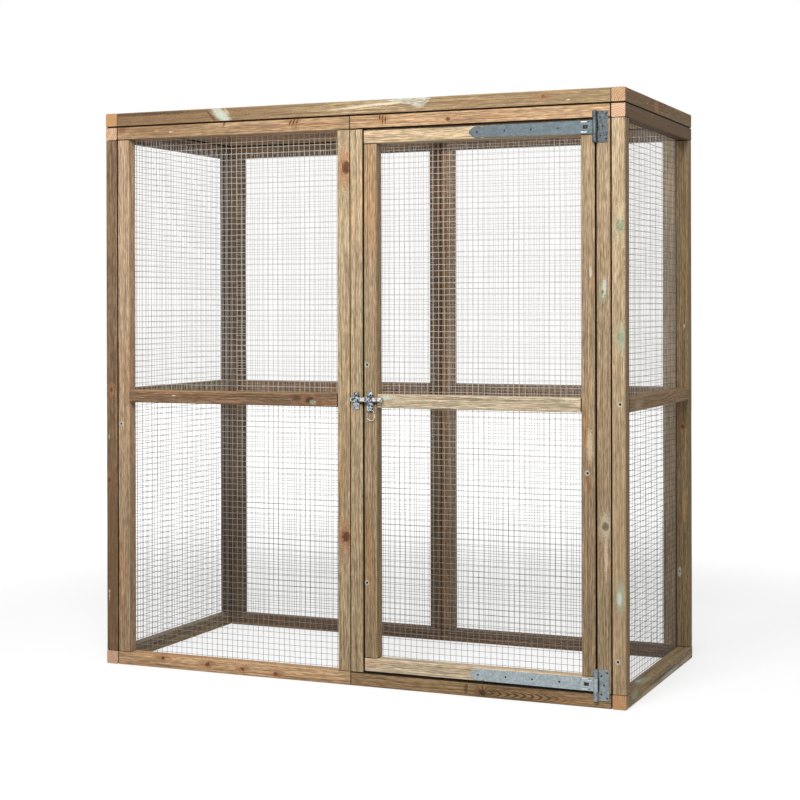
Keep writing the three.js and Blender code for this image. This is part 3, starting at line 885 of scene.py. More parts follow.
class PineCoat:
    """The work on the material of one batten."""

    def __init__(self, finish: PineFinish, timber: Timber, effects: Effects) -> None:
        """Keeps what every step needs."""
        self.finish = finish
        self.timber = timber
        self.effects = effects

    def made(self, cut: bool) -> Finish:
        """Makes the material; the pale wood under the bark is the cut one."""
        finish, timber = self.finish, self.timber
        material = bpy.data.materials.new(f"{timber.node}_{'bare' if cut else 'grain'}")
        self.recipe = Recipe.on(material)
        self.chance = random.Random(timber.node)
        self.spot = self.recipe.spot()
        parts = (self.spot - tuple((timber.low + timber.high) / 2)).parts()
        self.turned = self.recipe.joined(*(parts[axis] for axis in timber.order))
        self.shift = Vector((self.chance.uniform(-finish.shift, finish.shift), 0, 0))
        self.place = self.turned + tuple(self.shift)
        self.ragged = self.recipe.noise(self.place, finish.ragged_grain, 3.0)
        knots = self._knots()
        tone = Vector(finish.bare if cut else timber.grown.tone.value) * timber.grown.shade
        self._grow(tone, finish.bare_late if cut else finish.late)
        if not cut:
            for knot, placed in knots:
                layers = {"halo": knot.halo, "core": knot.core, "rim": shaded(knot.core, 0.5)}
                for (key, tint), cover in zip(layers.items(), finish.knot_covers):
                    self._lay(placed[key] * cover, tint)
            self._mark()
            edge = self._effect("arris", self.turned, half=finish.half)
            self._lay(edge["mask"] * finish.wear_cover, shaded(tone, finish.wear_light))
        self._end()
        self._lay_joint_shade()
        raised, sunk, rim = finish.relief
        height = self.grain["fibre"] * raised + self.grain["rings"] * sunk
        for _, placed in knots:
            height = placed["rim"] * rim + height
        dull = self.grain["fibre"] * finish.roughness_spread + finish.roughness
        self.recipe.end(
            "Material", "BsdfPrincipled", Base_Color=self.colour, Roughness=dull,
            Specular_IOR_Level=finish.shine,
            Normal=self.recipe.bump(finish.bump, finish.bump_depth, height),
        )
        return material

    def _effect(self, name: str, place: Signal, **values: Feed) -> dict[str, Signal]:
        """Places one of the shared groups."""
        tree = getattr(self.effects, name)
        return self.recipe.group(tree, place=place, ragged=self.ragged, **values)

    def _lay(self, cover: Feed, tint: Feed, mode: str = "MIX") -> None:
        """Lays a tint over the colour."""
        self.colour = self.recipe.mix(cover, self.colour, tint, mode)

    def _knots(self) -> list[tuple[Knot, dict[str, Signal]]]:
        """Places the knots and bends the grain round them."""
        timber, placed = self.timber, []
        self.straight = self.place
        knots = [mark for mark in timber.grown.marks if isinstance(mark, Knot)]
        for knot in knots + timber.chance_knots(self.chance):
            branch = timber.turned(Vector(knot.side.value)) + Vector(self.finish.branch_lean)
            placed.append((knot, self._effect(
                "knot", self.place, centre=timber.own_spot(knot, self.shift),
                branch=tuple(branch.normalized()), radius=knot.radius * MM,
            )))
            self.straight = self.straight - placed[-1][1]["warp"]
        return placed

    def _grow(self, tone: Vector, late_shares: Colour) -> None:
        """Lays the rings, streaks, fibres and clouds of the wood, and painted shade low on
        uprights.

        Args:
            tone: The wood's main colour.
            late_shares: What the dark part of each ring keeps of it.
        """
        finish, grown, chance = self.finish, self.timber.grown, self.chance
        pith = [chance.uniform(-1, 1)]
        for _ in range(2):
            pith.append(chance.choice((-1, 1)) * chance.uniform(*finish.pith_reach))
        pitch = chance.uniform(*finish.ring_pitch)
        contrast = chance.uniform(*finish.ring_contrast) if grown.rings is None else grown.rings
        self.grain = grain = self.recipe.group(
            self.effects.grain, place=self.straight, pith=tuple(pith), pitch=pitch
        )
        early, late = shaded(tone, finish.early), shaded(tone, late_shares)
        self.colour = self.recipe.mix(grain["rings"] * contrast, early, late)
        self._lay(grain["streak"] * finish.streak_cover, finish.streak, "MULTIPLY")
        mottled = grain["mottle"].smooth(*finish.mottle_light)
        texture = grain["fibre"].smooth(*finish.fibre_light) * mottled
        self._lay(1.0, self.recipe.joined(*(texture,) * 3), "MULTIPLY")
        for tint, start, end in finish.clouds:
            cover = grain["cloud"].smooth(start, end, 0.0, finish.cloud_cover)
            self._lay(cover, tint, "MULTIPLY")
        # Painted shade: upright battens darken towards the floor, where less light reaches them.
        if self.timber.grain is Axis.Z:
            floor_falloff = self.spot.parts()[2].falling(*finish.painted_foot_heights)
            self._lay(floor_falloff, finish.painted_foot_shade, "MULTIPLY")

    def _mark(self) -> None:
        """Lays the stains, the arches and the pale rings of the screws."""
        for mark in self.timber.grown.marks:
            if isinstance(mark, Knot):
                continue
            centre = self.timber.own_spot(mark, self.shift)
            if isinstance(mark, Arches):
                tint, cover = self.finish.arch_tint, self.finish.arch_cover
                shape = self._effect("arches", self.place, centre=centre, reach=mark.reach * MM)
            else:
                tint, cover = mark.tint.value
                reach = [mark.length * MM, mark.width * MM, mark.width * MM]
                facing = self.timber.turned(Vector(mark.side.value))
                reach[1 if abs(facing[1]) > 0.5 else 2] = self.finish.stain_depth
                shape = self._effect(
                    "stain", self.place, centre=centre, reach=tuple(reach), slant=mark.slant
                )
            self._lay(shape["mask"] * cover, tint)

    def _end(self) -> None:
        """Shows the pale sawn end grain on the batten's two ends."""
        pale = self.timber.grown.end_grain
        normal = self.recipe.outlet("ShaderNodeTexCoord", "Normal")
        facing = abs(normal.parts()[self.timber.grain.value])
        sawn = self.recipe.mix(self.grain["rings"], pale, shaded(pale, self.finish.end_dark))
        marked = self.grain["mottle"].smooth(*self.finish.end_marking)
        sawn = self.recipe.mix(marked, sawn, self.finish.end_mottle, "MULTIPLY")
        self._lay(facing.smooth(*self.finish.end_facing), sawn)

    def _lay_joint_shade(self) -> None:
        """Lays the dirt and painted shade of the joints, and painted shade deeper in the door's
        gap.
        """
        finish, timber = self.finish, self.timber
        snug = timber.touching()
        for side in timber.touching(gap=finish.door_gap):
            level = side.axis is Axis.Z and timber.grain is not Axis.Z
            reach = finish.joint_reach * (1.0 if level else finish.side_share)
            dirt_and_shade_mask = self._effect(
                "joint", self.turned, facing=tuple(timber.turned(Vector(side.value))),
                start=timber.size[side.axis.value] / 2 - reach,
            )
            cover, deep = finish.dirt_and_shade_covers
            # Painted shade: the door's gap darkens the deeper it goes.
            if side not in snug:
                start, end = finish.gap_shade_depths
                cover = self.spot.parts()[1].smooth(FRONT_Y + start, FRONT_Y + end, cover, deep)
            self._lay(dirt_and_shade_mask["mask"] * cover, finish.dirt_and_shade)


@dataclass(frozen=True)
class ZincFinish:
    """A zinc coat on steel."""

    name: str
    colour: Colour
    dark: Colour
    crystal: float
    roughness: float
    metallic: float = 0.9
    spread: float = 0.5
    # Painted shade: what the colour keeps at the foot, where less light reaches.
    low_shade: float = 1.0
    crystal_share: float = 0.55
    scratch_light: float = 1.35
    scratch_cover: float = 0.25
    scratch_height: float = -0.4
    bump: float = 0.12
    bump_depth: float = 0.0008
    roughness_spread: float = 0.24
    low_heights: Pair = (0.3, 1.1)

    def material(self, effects: Effects) -> Finish:
        """Makes the coat's material."""
        made = bpy.data.materials.new(self.name)
        recipe = Recipe.on(made)
        spot = recipe.spot()
        coat = recipe.group(effects.zinc, place=spot, crystal=self.crystal)
        share = coat["cloud"] * (1 - self.crystal_share) + coat["shade"] * self.crystal_share
        share = share.smooth(0.5 - self.spread, 0.5 + self.spread)
        colour = recipe.mix(share, self.dark, self.colour)
        scratched = shaded(self.colour, self.scratch_light)
        colour = recipe.mix(coat["scratch"] * self.scratch_cover, colour, scratched)
        # Painted shade: the coat darkens towards the floor, where less light reaches it.
        if self.low_shade < 1:
            floor_falloff = spot.parts()[2].falling(*self.low_heights)
            colour = recipe.mix(floor_falloff, colour, (self.low_shade,) * 3, "MULTIPLY")
        height = coat["scratch"] * self.scratch_height + coat["cloud"]
        smoothest = self.roughness - self.roughness_spread / 2
        recipe.end(
            "Material", "BsdfPrincipled", Base_Color=colour, Metallic=self.metallic,
            Roughness=coat["cloud"] * self.roughness_spread + smoothest,
            Normal=recipe.bump(self.bump, self.bump_depth, height),
        )
        return made


def hand_over(
    piece: Thing, body: Body, slot: Slot, *nodes: str, finish: Finish | None = None
) -> None:
    """Gives a finished piece its material, hangs it on its body and hides its CAD nodes.

    Args:
        piece: The piece.
        body: The body that it rides on.
        slot: Not used.
        nodes: The CAD nodes that it stands for.
        finish: Its only material, or nothing if it has its own already.
    """
    if finish is not None:
        piece.data.materials.clear()
        piece.data.materials.append(finish)
    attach(piece, body.value)
    if nodes:
        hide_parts(*nodes)
    LOG.info("%s rides on %s", piece.name, body.value)


FRONT, BACK, LEFT, RIGHT, TOP, UNDER = Side
HONEY, ROSY, PALE, CREAMY, GREYED, OLIVE, RUSSET, AMBER, BROWN, SOOTY = Tone
(
    GREEN, CREAM, WHITE, PALE_GREEN, RED, DARK, ORANGE, RUST, SCAR, BLOND, BARE, UMBER, WARM, SHADE
) = Tint
HALVES = ("left", "right")
RED_CORE = (0.19, 0.05, 0.022)
PEACH = (0.82, 0.56, 0.39)
GROWTH = {
    "left_top_rail": Grown(BROWN, 0.65, end_grain=PEACH),
    "left_bottom_rail": Grown(OLIVE, 0.9, end_grain=PEACH),
    "left_front_stile": Grown(BROWN, 0.95, (
        Stain(-878, 400, 330, 26, UMBER), Stain(-889.2, 226, 15, 2.4, CREAM),
        Stain(-889.2, 243, 7, 4, CREAM), Stain(-889, 762, 9, 2.5, CREAM), Knot(-880, 920, 5),
    ), end_grain=PEACH, chance_knots=1),
    "left_back_stile": Grown(BROWN, 0.45, chance_knots=1),
    "left_mid_rail": Grown(OLIVE, 0.85, chance_knots=1),
    "right_top_rail": Grown(AMBER, 0.45, (
        Stain(0, 1780, 500, 60, WARM, side=RIGHT), Stain(-89.1, 1796.3, 8, 3, CREAM, side=RIGHT),
    ), end_grain=PEACH, chance_knots=1),
    "right_bottom_rail": Grown(OLIVE, 0.95, (
        Stain(884, -182, 60, 26, GREEN, side=TOP), Stain(878, -190, 26, 8, PALE_GREEN, side=TOP),
        Stain(-310, 28, 44, 16, GREEN, side=RIGHT), Stain(-150, 8, 150, 8, CREAM, side=RIGHT),
        Stain(120, 10, 150, 7, PALE_GREEN, side=RIGHT), Stain(330, 12, 90, 9, CREAM, side=RIGHT),
        Stain(30, 22, 190, 4, DARK, side=RIGHT),
    ), end_grain=(0.7, 0.42, 0.22), chance_knots=1),
    "right_front_stile": Grown(PALE, 0.95, (
        Stain(884, 420, 420, 60, BLOND), Stain(-383, 900, 1500, 80, UMBER, side=RIGHT),
        Knot(883.7, 1438.4, 11, (0.3, 0.38, 0.24), (0.52, 0.46, 0.28)),
        Stain(884, 1470, 30, 6, CREAM), Stain(882, 335, 60, 17, GREEN),
        Stain(888, 1100, 46, 12, GREEN), Knot(886, 1105, 9, (0.24, 0.3, 0.18), (0.46, 0.42, 0.26)),
        Stain(879, 330, 24, 8, PALE_GREEN), Pit(881.5, 906.3), Pit(873.7, 142),
    )),
    "right_back_stile": Grown(OLIVE, 1, (
        Stain(867, 297, 19, 7, WHITE), Stain(867, 299, 6, 3.5, DARK), Knot(878, 790, 5),
        Stain(884, 1130, 10, 4, CREAM), Stain(882, 520, 60, 6, ORANGE),
        Stain(389, 700, 900, 13, WARM, side=RIGHT),
    ), chance_knots=1),
    "right_mid_rail": Grown(AMBER, 1.1, (
        Knot(-261.4, 895.9, 9, (0.5, 0.43, 0.3), (0.55, 0.44, 0.28), side=RIGHT),
    )),
    "front_top_rail": Grown(HONEY, 0.87, (
        Stain(-690, 1785, 170, 40, WARM), Stain(-701, 1783, 12, 7, ORANGE),
        Stain(-647, 1777, 8, 2.4, WHITE, 1.2), Stain(-447, 1795, 5, 11, DARK, 0.3),
        Stain(-194, 1790, 24, 15, RUST), Stain(-206, 1790, 3.4, 14, SCAR, 0.4),
        Stain(-194, 1791, 3.4, 15, SCAR, 0.4), Stain(-182, 1791, 3.4, 13, SCAR, 0.4),
        Stain(-835, 1789, 18, 12, RED),
    )),
    "front_bottom_rail": Grown(HONEY, 1.1, (
        Knot(-682.1, 33.7, 5), Knot(-513.9, 25.2, 6), Knot(-384.3, 20.6, 5), Knot(-264.2, 15.5, 5),
    )),
    "front_left_stile": Grown(ROSY, 0.97, (
        Pit(-842.1, 807), Stain(-830, 1083, 8, 5, ORANGE), Stain(-815, 1074, 7, 4, ORANGE),
    )),
    "front_right_stile": Grown(PALE, 0.93, (
        Knot(-8, 1638, 14, (0.12, 0.035, 0.018), (0.42, 0.16, 0.07)),
        Knot(-12, 470, 12, (0.13, 0.035, 0.018), (0.38, 0.15, 0.07)),
    )),
    "front_mid_rail": Grown(RUSSET, 0.82, (
        Knot(-139.9, 899.1, 10, (0.07, 0.035, 0.02), (0.24, 0.12, 0.06)),
        Stain(-128, 893, 14, 9, GREEN), Stain(-185, 905, 20, 10, DARK),
        # The two long orange lines along the top arris are a painted highlight.
        Stain(-640, 905, 8, 3, WHITE), Stain(-430, 920, 380, 2.2, ORANGE),
        Stain(-700, 920, 200, 2.2, ORANGE),
    )),
    "back_left_mid_rail": Grown(RUSSET, 0.85, (
        Knot(-430, 905, 7, RED_CORE),
    ), chance_knots=1),
    "back_right_mid_rail": Grown(BROWN, 0.95, chance_knots=1),
    **{f"back_{half}_top_rail": Grown(BROWN, 0.6, chance_knots=1) for half in HALVES},
    **{f"back_{half}_bottom_rail": Grown(BROWN, 0.75, chance_knots=1) for half in HALVES},
    "back_left_inner_stile": Grown(BROWN, 0.72, chance_knots=1),
    "back_right_inner_stile": Grown(RUSSET, 1.1, chance_knots=1),
    "back_left_outer_stile": Grown(BROWN, 0.65),
    "back_right_outer_stile": Grown(OLIVE, 1.15, (
        Stain(832, 420, 11, 5, GREEN),
    )),
    "door_frame_top_rail": Grown(HONEY, 0.98, (
        Stain(118, 1787, 24, 19, RUST), Stain(107, 1792, 3.6, 13, SCAR),
        Stain(116, 1787, 3.6, 18, SCAR), Stain(126, 1783, 3.6, 13, SCAR),
        Knot(336.4, 1776, 5, (0.12, 0.05, 0.025), (0.4, 0.22, 0.11)),
    )),
    "door_frame_bottom_rail": Grown(AMBER, 0.95, (
        Arches(446, 16, 330), Knot(446.4, 14, 8, (0.05, 0.03, 0.02), (0.17, 0.09, 0.045)),
        Stain(392, 24, 8, 18, DARK), Stain(446, 28, 2.6, 15, DARK),
        Stain(456, 26, 2.6, 15, DARK, 0.9), Stain(435, 26, 2.6, 15, DARK, -0.9),
        Stain(480, 22, 26, 3, DARK, 2.4),
    ), rings=0.5),
    "door_frame_left_stile": Grown(PALE, 0.92, (
        # Painted shadow round the keep and under the bolt's bar.
        Stain(24.8, 901, 27, 12.5, DARK), Stain(40, 893.5, 4, 14, SHADE),
    )),
    "door_frame_right_stile": Grown(GREYED, 0.95, (
        # Painted shade in the gaps seen through the hinge plates' slots.
        Stain(814.5, 1732, 24, 5, SHADE), Stain(814.5, 70, 24, 5, SHADE),
        Stain(830.8, 1245.5, 40, 13, GREEN, 0.9), Stain(834, 1252, 30, 7, WHITE, 0.9),
        Stain(829, 1240, 7, 4, DARK), Knot(836, 542, 9, (0.16, 0.12, 0.07), (0.62, 0.54, 0.38)),
        Stain(838, 455, 80, 6, CREAM, -0.6),
    )),
    # Painted shade seen through the window of each hinge strap.
    "door_top_rail": Grown(PALE, 1, (Stain(778, 1732, 15, 15, SHADE),)),
    "door_bottom_rail": Grown(CREAMY, 1.08, (Stain(778, 70, 15, 15, SHADE),)),
    "door_left_stile": Grown(GREYED, 0.97, (
        # Painted shadow round the guide and under the bolt's bar, then two sunk screws.
        Stain(72.8, 899, 33, 13, DARK), Stain(86, 893.5, 4, 15, SHADE), Pit(61.4, 1014.9),
        Pit(59.7, 328.5),
    )),
    "door_right_stile": Grown(GREYED, 0.93, (
        Pit(781, 699), Stain(792, 1300, 18, 5, WHITE), Stain(788, 780, 60, 11, CREAM),
        Stain(784, 660, 30, 5, RED),
    )),
    "door_mid_rail": Grown(CREAMY, 1.03, (
        Knot(138.6, 904.3, 8, (0.5, 0.4, 0.27), (0.6, 0.48, 0.32)),
        Stain(717.9, 915.1, 8, 2.5, WHITE), Stain(126, 912, 26, 7, PALE_GREEN),
        Stain(108, 893, 16, 6, CREAM),
    )),
    "roof_left_rail": Grown(BROWN, 1, end_grain=(0.72, 0.43, 0.21)),
    "roof_right_rail": Grown(AMBER, 0.92, (
        Stain(-200, 1825, 260, 40, WARM, side=RIGHT), Stain(-150, 1825.3, 8, 3, CREAM, side=RIGHT),
        Stain(-40, 1826, 30, 30, ORANGE, side=RIGHT), Knot(63.6, 1840, 6, side=RIGHT),
    ), end_grain=(0.66, 0.44, 0.27)),
    "roof_front_rail": Grown(OLIVE, 1.05, (
        Stain(-760, 1825, 500, 90, UMBER), Stain(-800, 1825, 400, 90, WARM),
        Stain(-740, 1842, 240, 8, DARK), Stain(-300, 1825, 240, 60, WARM),
        Stain(560, 1825, 380, 70, WARM), Stain(-458, 1825, 28, 32, PALE_GREEN, -0.9),
        Stain(-438, 1836, 6, 10, CREAM, -0.9), Stain(-496, 1823, 5, 24, DARK, -0.9),
        Knot(644.8, 1830.6, 5, RED_CORE), Stain(723.7, 1816.2, 8, 2.5, WHITE),
        Stain(62, 1830, 62, 9, BARE, 12), Stain(150, 1833, 40, 6, BARE, 8),
    ), rings=0.4),
    "roof_back_rail": Grown(SOOTY, 1.1, chance_knots=1),
    "roof_mid_rail": Grown(SOOTY, 1, chance_knots=1),
}


@dataclass
class Wane:
    """The missing edge of the roof's front rail, where the bark was."""

    steps: Pairs = (
        (90, 0.3), (120, 4), (150, 11), (177, 17), (202, 22), (219, 27), (232, 32), (243, 33),
        (254, 30), (264, 22), (274, 11.5), (283, 4), (290, 0.3),
    )
    run_share: float = 0.62
    margin: float = 0.012
    steep: float = 0.75

    def cutter(self, top: float) -> Thing:
        """Makes the wedge that is cut away below the rail's top face."""
        outside, above = FRONT_Y - self.margin, top + self.margin
        places = [place * MM for place, _ in self.steps]
        wedge = Bench.block("wane_cutter", (places[0], outside, top), (places[-1], FRONT_Y, above))
        Bench.slice(wedge, places[1:-1])
        for place, (_, drop) in zip(places, self.steps):
            depth = drop * MM
            moves = {
                (place, outside, top): (0, 0, -depth * (1 + self.margin * self.run_share)),
                (place, FRONT_Y, top): (0, 0, -depth),
                (place, FRONT_Y, above): (0, depth * self.run_share, 0),
            }
            for corner, step in moves.items():
                start = Vector(corner)
                with Bench.editing(wedge, Pick.VERT, lambda vert: (vert.co - start).length < NEAR):
                    bpy.ops.transform.translate(value=step)
        with Bench.editing(wedge, Pick.FACE):
            bpy.ops.mesh.normals_make_consistent(inside=False)
        return wedge

    def bare(self, made: Thing, low: Vector, high: Vector) -> None:
        """Cuts the missing edge off a rail and gives its second material to the cut."""
        Bench.combine(made, "DIFFERENCE", self.cutter(high.z))
        outwards = Vector((0, -1, 1)).normalized()
        start, end = self.steps[0][0] * MM, self.steps[-1][0] * MM
        for face in made.data.polygons:
            cut = face.normal.dot(outwards) > self.steep and start < face.center.x < end
            if cut and face.center.y > low.y + MM and face.center.z < high.z - MM:
                face.material_index = 1


@dataclass
class Batten:
    """One square batten, planed, with rounded edges."""

    node: str
    body: Body
    slot: Slot
    finish: PineFinish
    arris: float = 0.0043
    arris_segments: int = 4
    station: float = 0.07
    end_ease: float = 0.0008
    warp: float = 0.0009
    warp_grain: float = 0.3
    pit_radius: float = 0.0042
    pit_depth: float = 0.003
    pit_sides: int = 16
    waned: str = "roof_front_rail"

    def build(self, effects: Effects) -> None:
        timber = Timber(self.node)
        low, high, grain = timber.low, timber.high, timber.grain
        made = Bench.block(f"{self.node}_batten", low, high)
        Bench.bevel(made, Bench.runs_along(made, grain), self.arris, self.arris_segments)
        Bench.split(made, grain, max(2, round(timber.size[grain.value] / self.station)))
        ends = Bench.lies_at(made, grain, low[grain.value], high[grain.value])
        Bench.bevel(made, ends, self.end_ease, 1)
        Bench.ripple(made, self.warp, self.warp_grain, "NORMAL", 1.0)
        for mark in timber.grown.marks:
            if isinstance(mark, Pit):
                Bench.combine(made, "DIFFERENCE", Bench.rod(
                    "drill", timber.spot(mark), self.pit_radius, 2 * self.pit_depth,
                    mark.side.axis, self.pit_sides,
                ))
        made.data.materials.append(self.finish.material(timber, effects))
        if self.node == self.waned:
            made.data.materials.append(self.finish.material(timber, effects, cut=True))
            Wane().bare(made, low, high)
        hand_over(Bench.smooth(made), self.body, self.slot, self.node)


@dataclass
class Netting:
    """Welded netting of one panel: upright and level wires, and the staples that hold it."""

    node: str
    body: Body
    rails: tuple[str, ...]
    inner: Side
    pitch: float = 0.019
    wire: float = 0.0007
    sides: int = 5
    stretch: float = 0.15
    sway: float = 0.0052
    sway_grain: float = 0.16
    sway_step: float = 0.2
    staple: Three = (0.0095, 0.0014, 0.001)
    staple_step: float = 0.095
    staple_shift: float = 0.008
    staple_margin: float = 0.05
    staple_round: float = 0.6

    def build(self, bright: Finish, dull: Finish) -> None:
        """Builds the netting; the wires from front to back get the darker wire, painted shade."""
        flat = [index for index in range(3) if index != self.inner.axis.value]
        layers = []
        for level, (run, step) in enumerate((flat, reversed(flat))):
            layers.append(self._layer(Axis(run), Axis(step), level))
            # The wires along Y take the darker material, painted shade for light that only grazes
            # them.
            layers[-1].data.materials.append(dull if Axis(run) is Axis.Y else bright)
        made = Bench.join(f"{self.node}_wires", *layers)
        for index in flat:
            grain = self.sway_grain * (1 + index * self.sway_step)
            Bench.ripple(made, self.sway, grain, Axis(index).name, 0.5)
        hand_over(Bench.smooth(made), self.body, Slot.NETTING, self.node)

    def _layer(self, run: Axis, step: Axis, level: int) -> Thing:
        """Makes the wires that run one way.

        Args:
            run: The axis that the wires run along.
            step: The axis that they follow each other on.
            level: 0 for the layer at the low side, 1 for the other.

        Returns:
            The layer as one object.
        """
        low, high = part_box(self.node)
        thin = self.inner.axis.value
        count = int(((high - low)[step.value] - self.sway) / self.pitch) + 1
        first = (low + high) / 2
        first[step.value] -= (count - 1) / 2 * self.pitch
        first[thin] = (low[thin] + self.wire, high[thin] - self.wire)[level]
        length = (high - low)[run.value] - self.sway
        made = Bench.rod("wire", first, self.wire, length, run, self.sides)
        Bench.split(made, run, max(1, round(length / self.stretch) - 1))
        return Bench.repeat(made, count, step.along(self.pitch))

    def staples(self, finish: Finish) -> None:
        """Builds the staples along the panel's battens."""
        made = Bench.join(f"{self.node}_staples", *map(self._row, self.rails))
        hand_over(Bench.smooth(made), self.body, Slot.NETTING, finish=finish)

    def _row(self, rail: str) -> Thing:
        """Makes the staples along one batten."""
        low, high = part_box(self.node)
        start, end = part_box(rail)
        axis = Axis.longest(end - start)
        run, thin = axis.value, self.inner.axis.value
        across = ({0, 1, 2} - {run, thin}).pop()
        length, width, height = self.staple
        middle = (start + end) / 2
        toward = ((low + high) / 2 - middle)[across]
        if abs(toward) > self.staple_margin:
            middle[across] += math.copysign(self.staple_shift, toward)
        count = max(2, int(((end - start)[run] - self.staple_margin) / self.staple_step))
        middle[run] -= (count - 1) / 2 * self.staple_step
        middle[thin] = self.inner.level(low, high)
        half = Vector()
        half[run], half[across], half[thin] = width / 2, length / 2, height
        crown = Bench.block("staple", middle - half, middle + half)
        Bench.bevel(crown, Bench.runs_along(crown, axis), height * self.staple_round, 2)
        return Bench.repeat(crown, count, axis.along(self.staple_step))


@dataclass
class Panel:
    """One framed panel of battens with its netting."""

    prefix: str
    members: tuple[str, ...]
    slot: Slot
    inner: Side | None = None
    body: Body = Body.CAGE
    stapled: tuple[str, ...] = ()

    def build(self, pine: PineFinish, wires: tuple[Finish, ...], effects: Effects) -> None:
        """Builds the panel's battens, its netting and its staples.

        Args:
            pine: The finish of the battens.
            wires: The bright material of the netting's wires and the darker one, painted shade.
            effects: The shared shader groups.
        """
        for member in self.members:
            Batten(f"{self.prefix}_{member}", self.body, self.slot, pine).build(effects)
        if self.inner is not None:
            rails = tuple(f"{self.prefix}_{member}" for member in self.stapled)
            net = Netting(f"{self.prefix}_net", self.body, rails, self.inner)
            net.build(*wires)
            net.staples(wires[0])


@dataclass
class Screw:
    """A pan-head wood screw with a cross recess, of which only the head shows."""

    radius: float = 0.0042
    height: float = 0.0018
    sides: int = 14
    slot_width: float = 0.001
    slot_length: float = 0.0048
    slot_depth: float = 0.0009
    dome: float = 0.7
    spin: float = 0.83

    def __post_init__(self) -> None:
        """Models the head once, on the origin, facing up."""
        centre = Vector((0, 0, self.height / 2))
        head = Bench.rod("screw_head", centre, self.radius, self.height, Axis.Z, self.sides)
        Bench.bevel(head, Bench.lies_at(head, Axis.Z, self.height), self.height * self.dome, 3)
        for axis in (Axis.X, Axis.Y):
            half = Vector((self.slot_width, self.slot_width, 0)) / 2
            half[axis.value] = self.slot_length / 2
            low = Vector((0, 0, self.height - self.slot_depth)) - half
            high = Vector((0, 0, self.height + self.slot_depth)) + half
            Bench.combine(head, "DIFFERENCE", Bench.block("recess", low, high))
        self.pattern = Bench.smooth(head)

    def drive(self, name: str, spots: list[tuple[Vector, Side]], size: float) -> Thing:
        """Sets screws as one piece.

        Args:
            name: The piece's name.
            spots: Where each head sits and the way it faces.
            size: The heads' size against the pattern.

        Returns:
            The screws as one object.
        """
        heads = []
        for index, (spot, side) in enumerate(spots):
            turn = Vector((0, 0, 1)).rotation_difference(Vector(side.value)).to_matrix().to_4x4()
            spin = Matrix.Rotation(index * self.spin, 4, "Z")
            place = Matrix.Translation(spot) @ turn @ spin @ Matrix.Scale(size, 4)
            heads.append(Bench.copy(self.pattern, f"{name}_{index}", place))
        return Bench.join(name, *heads)


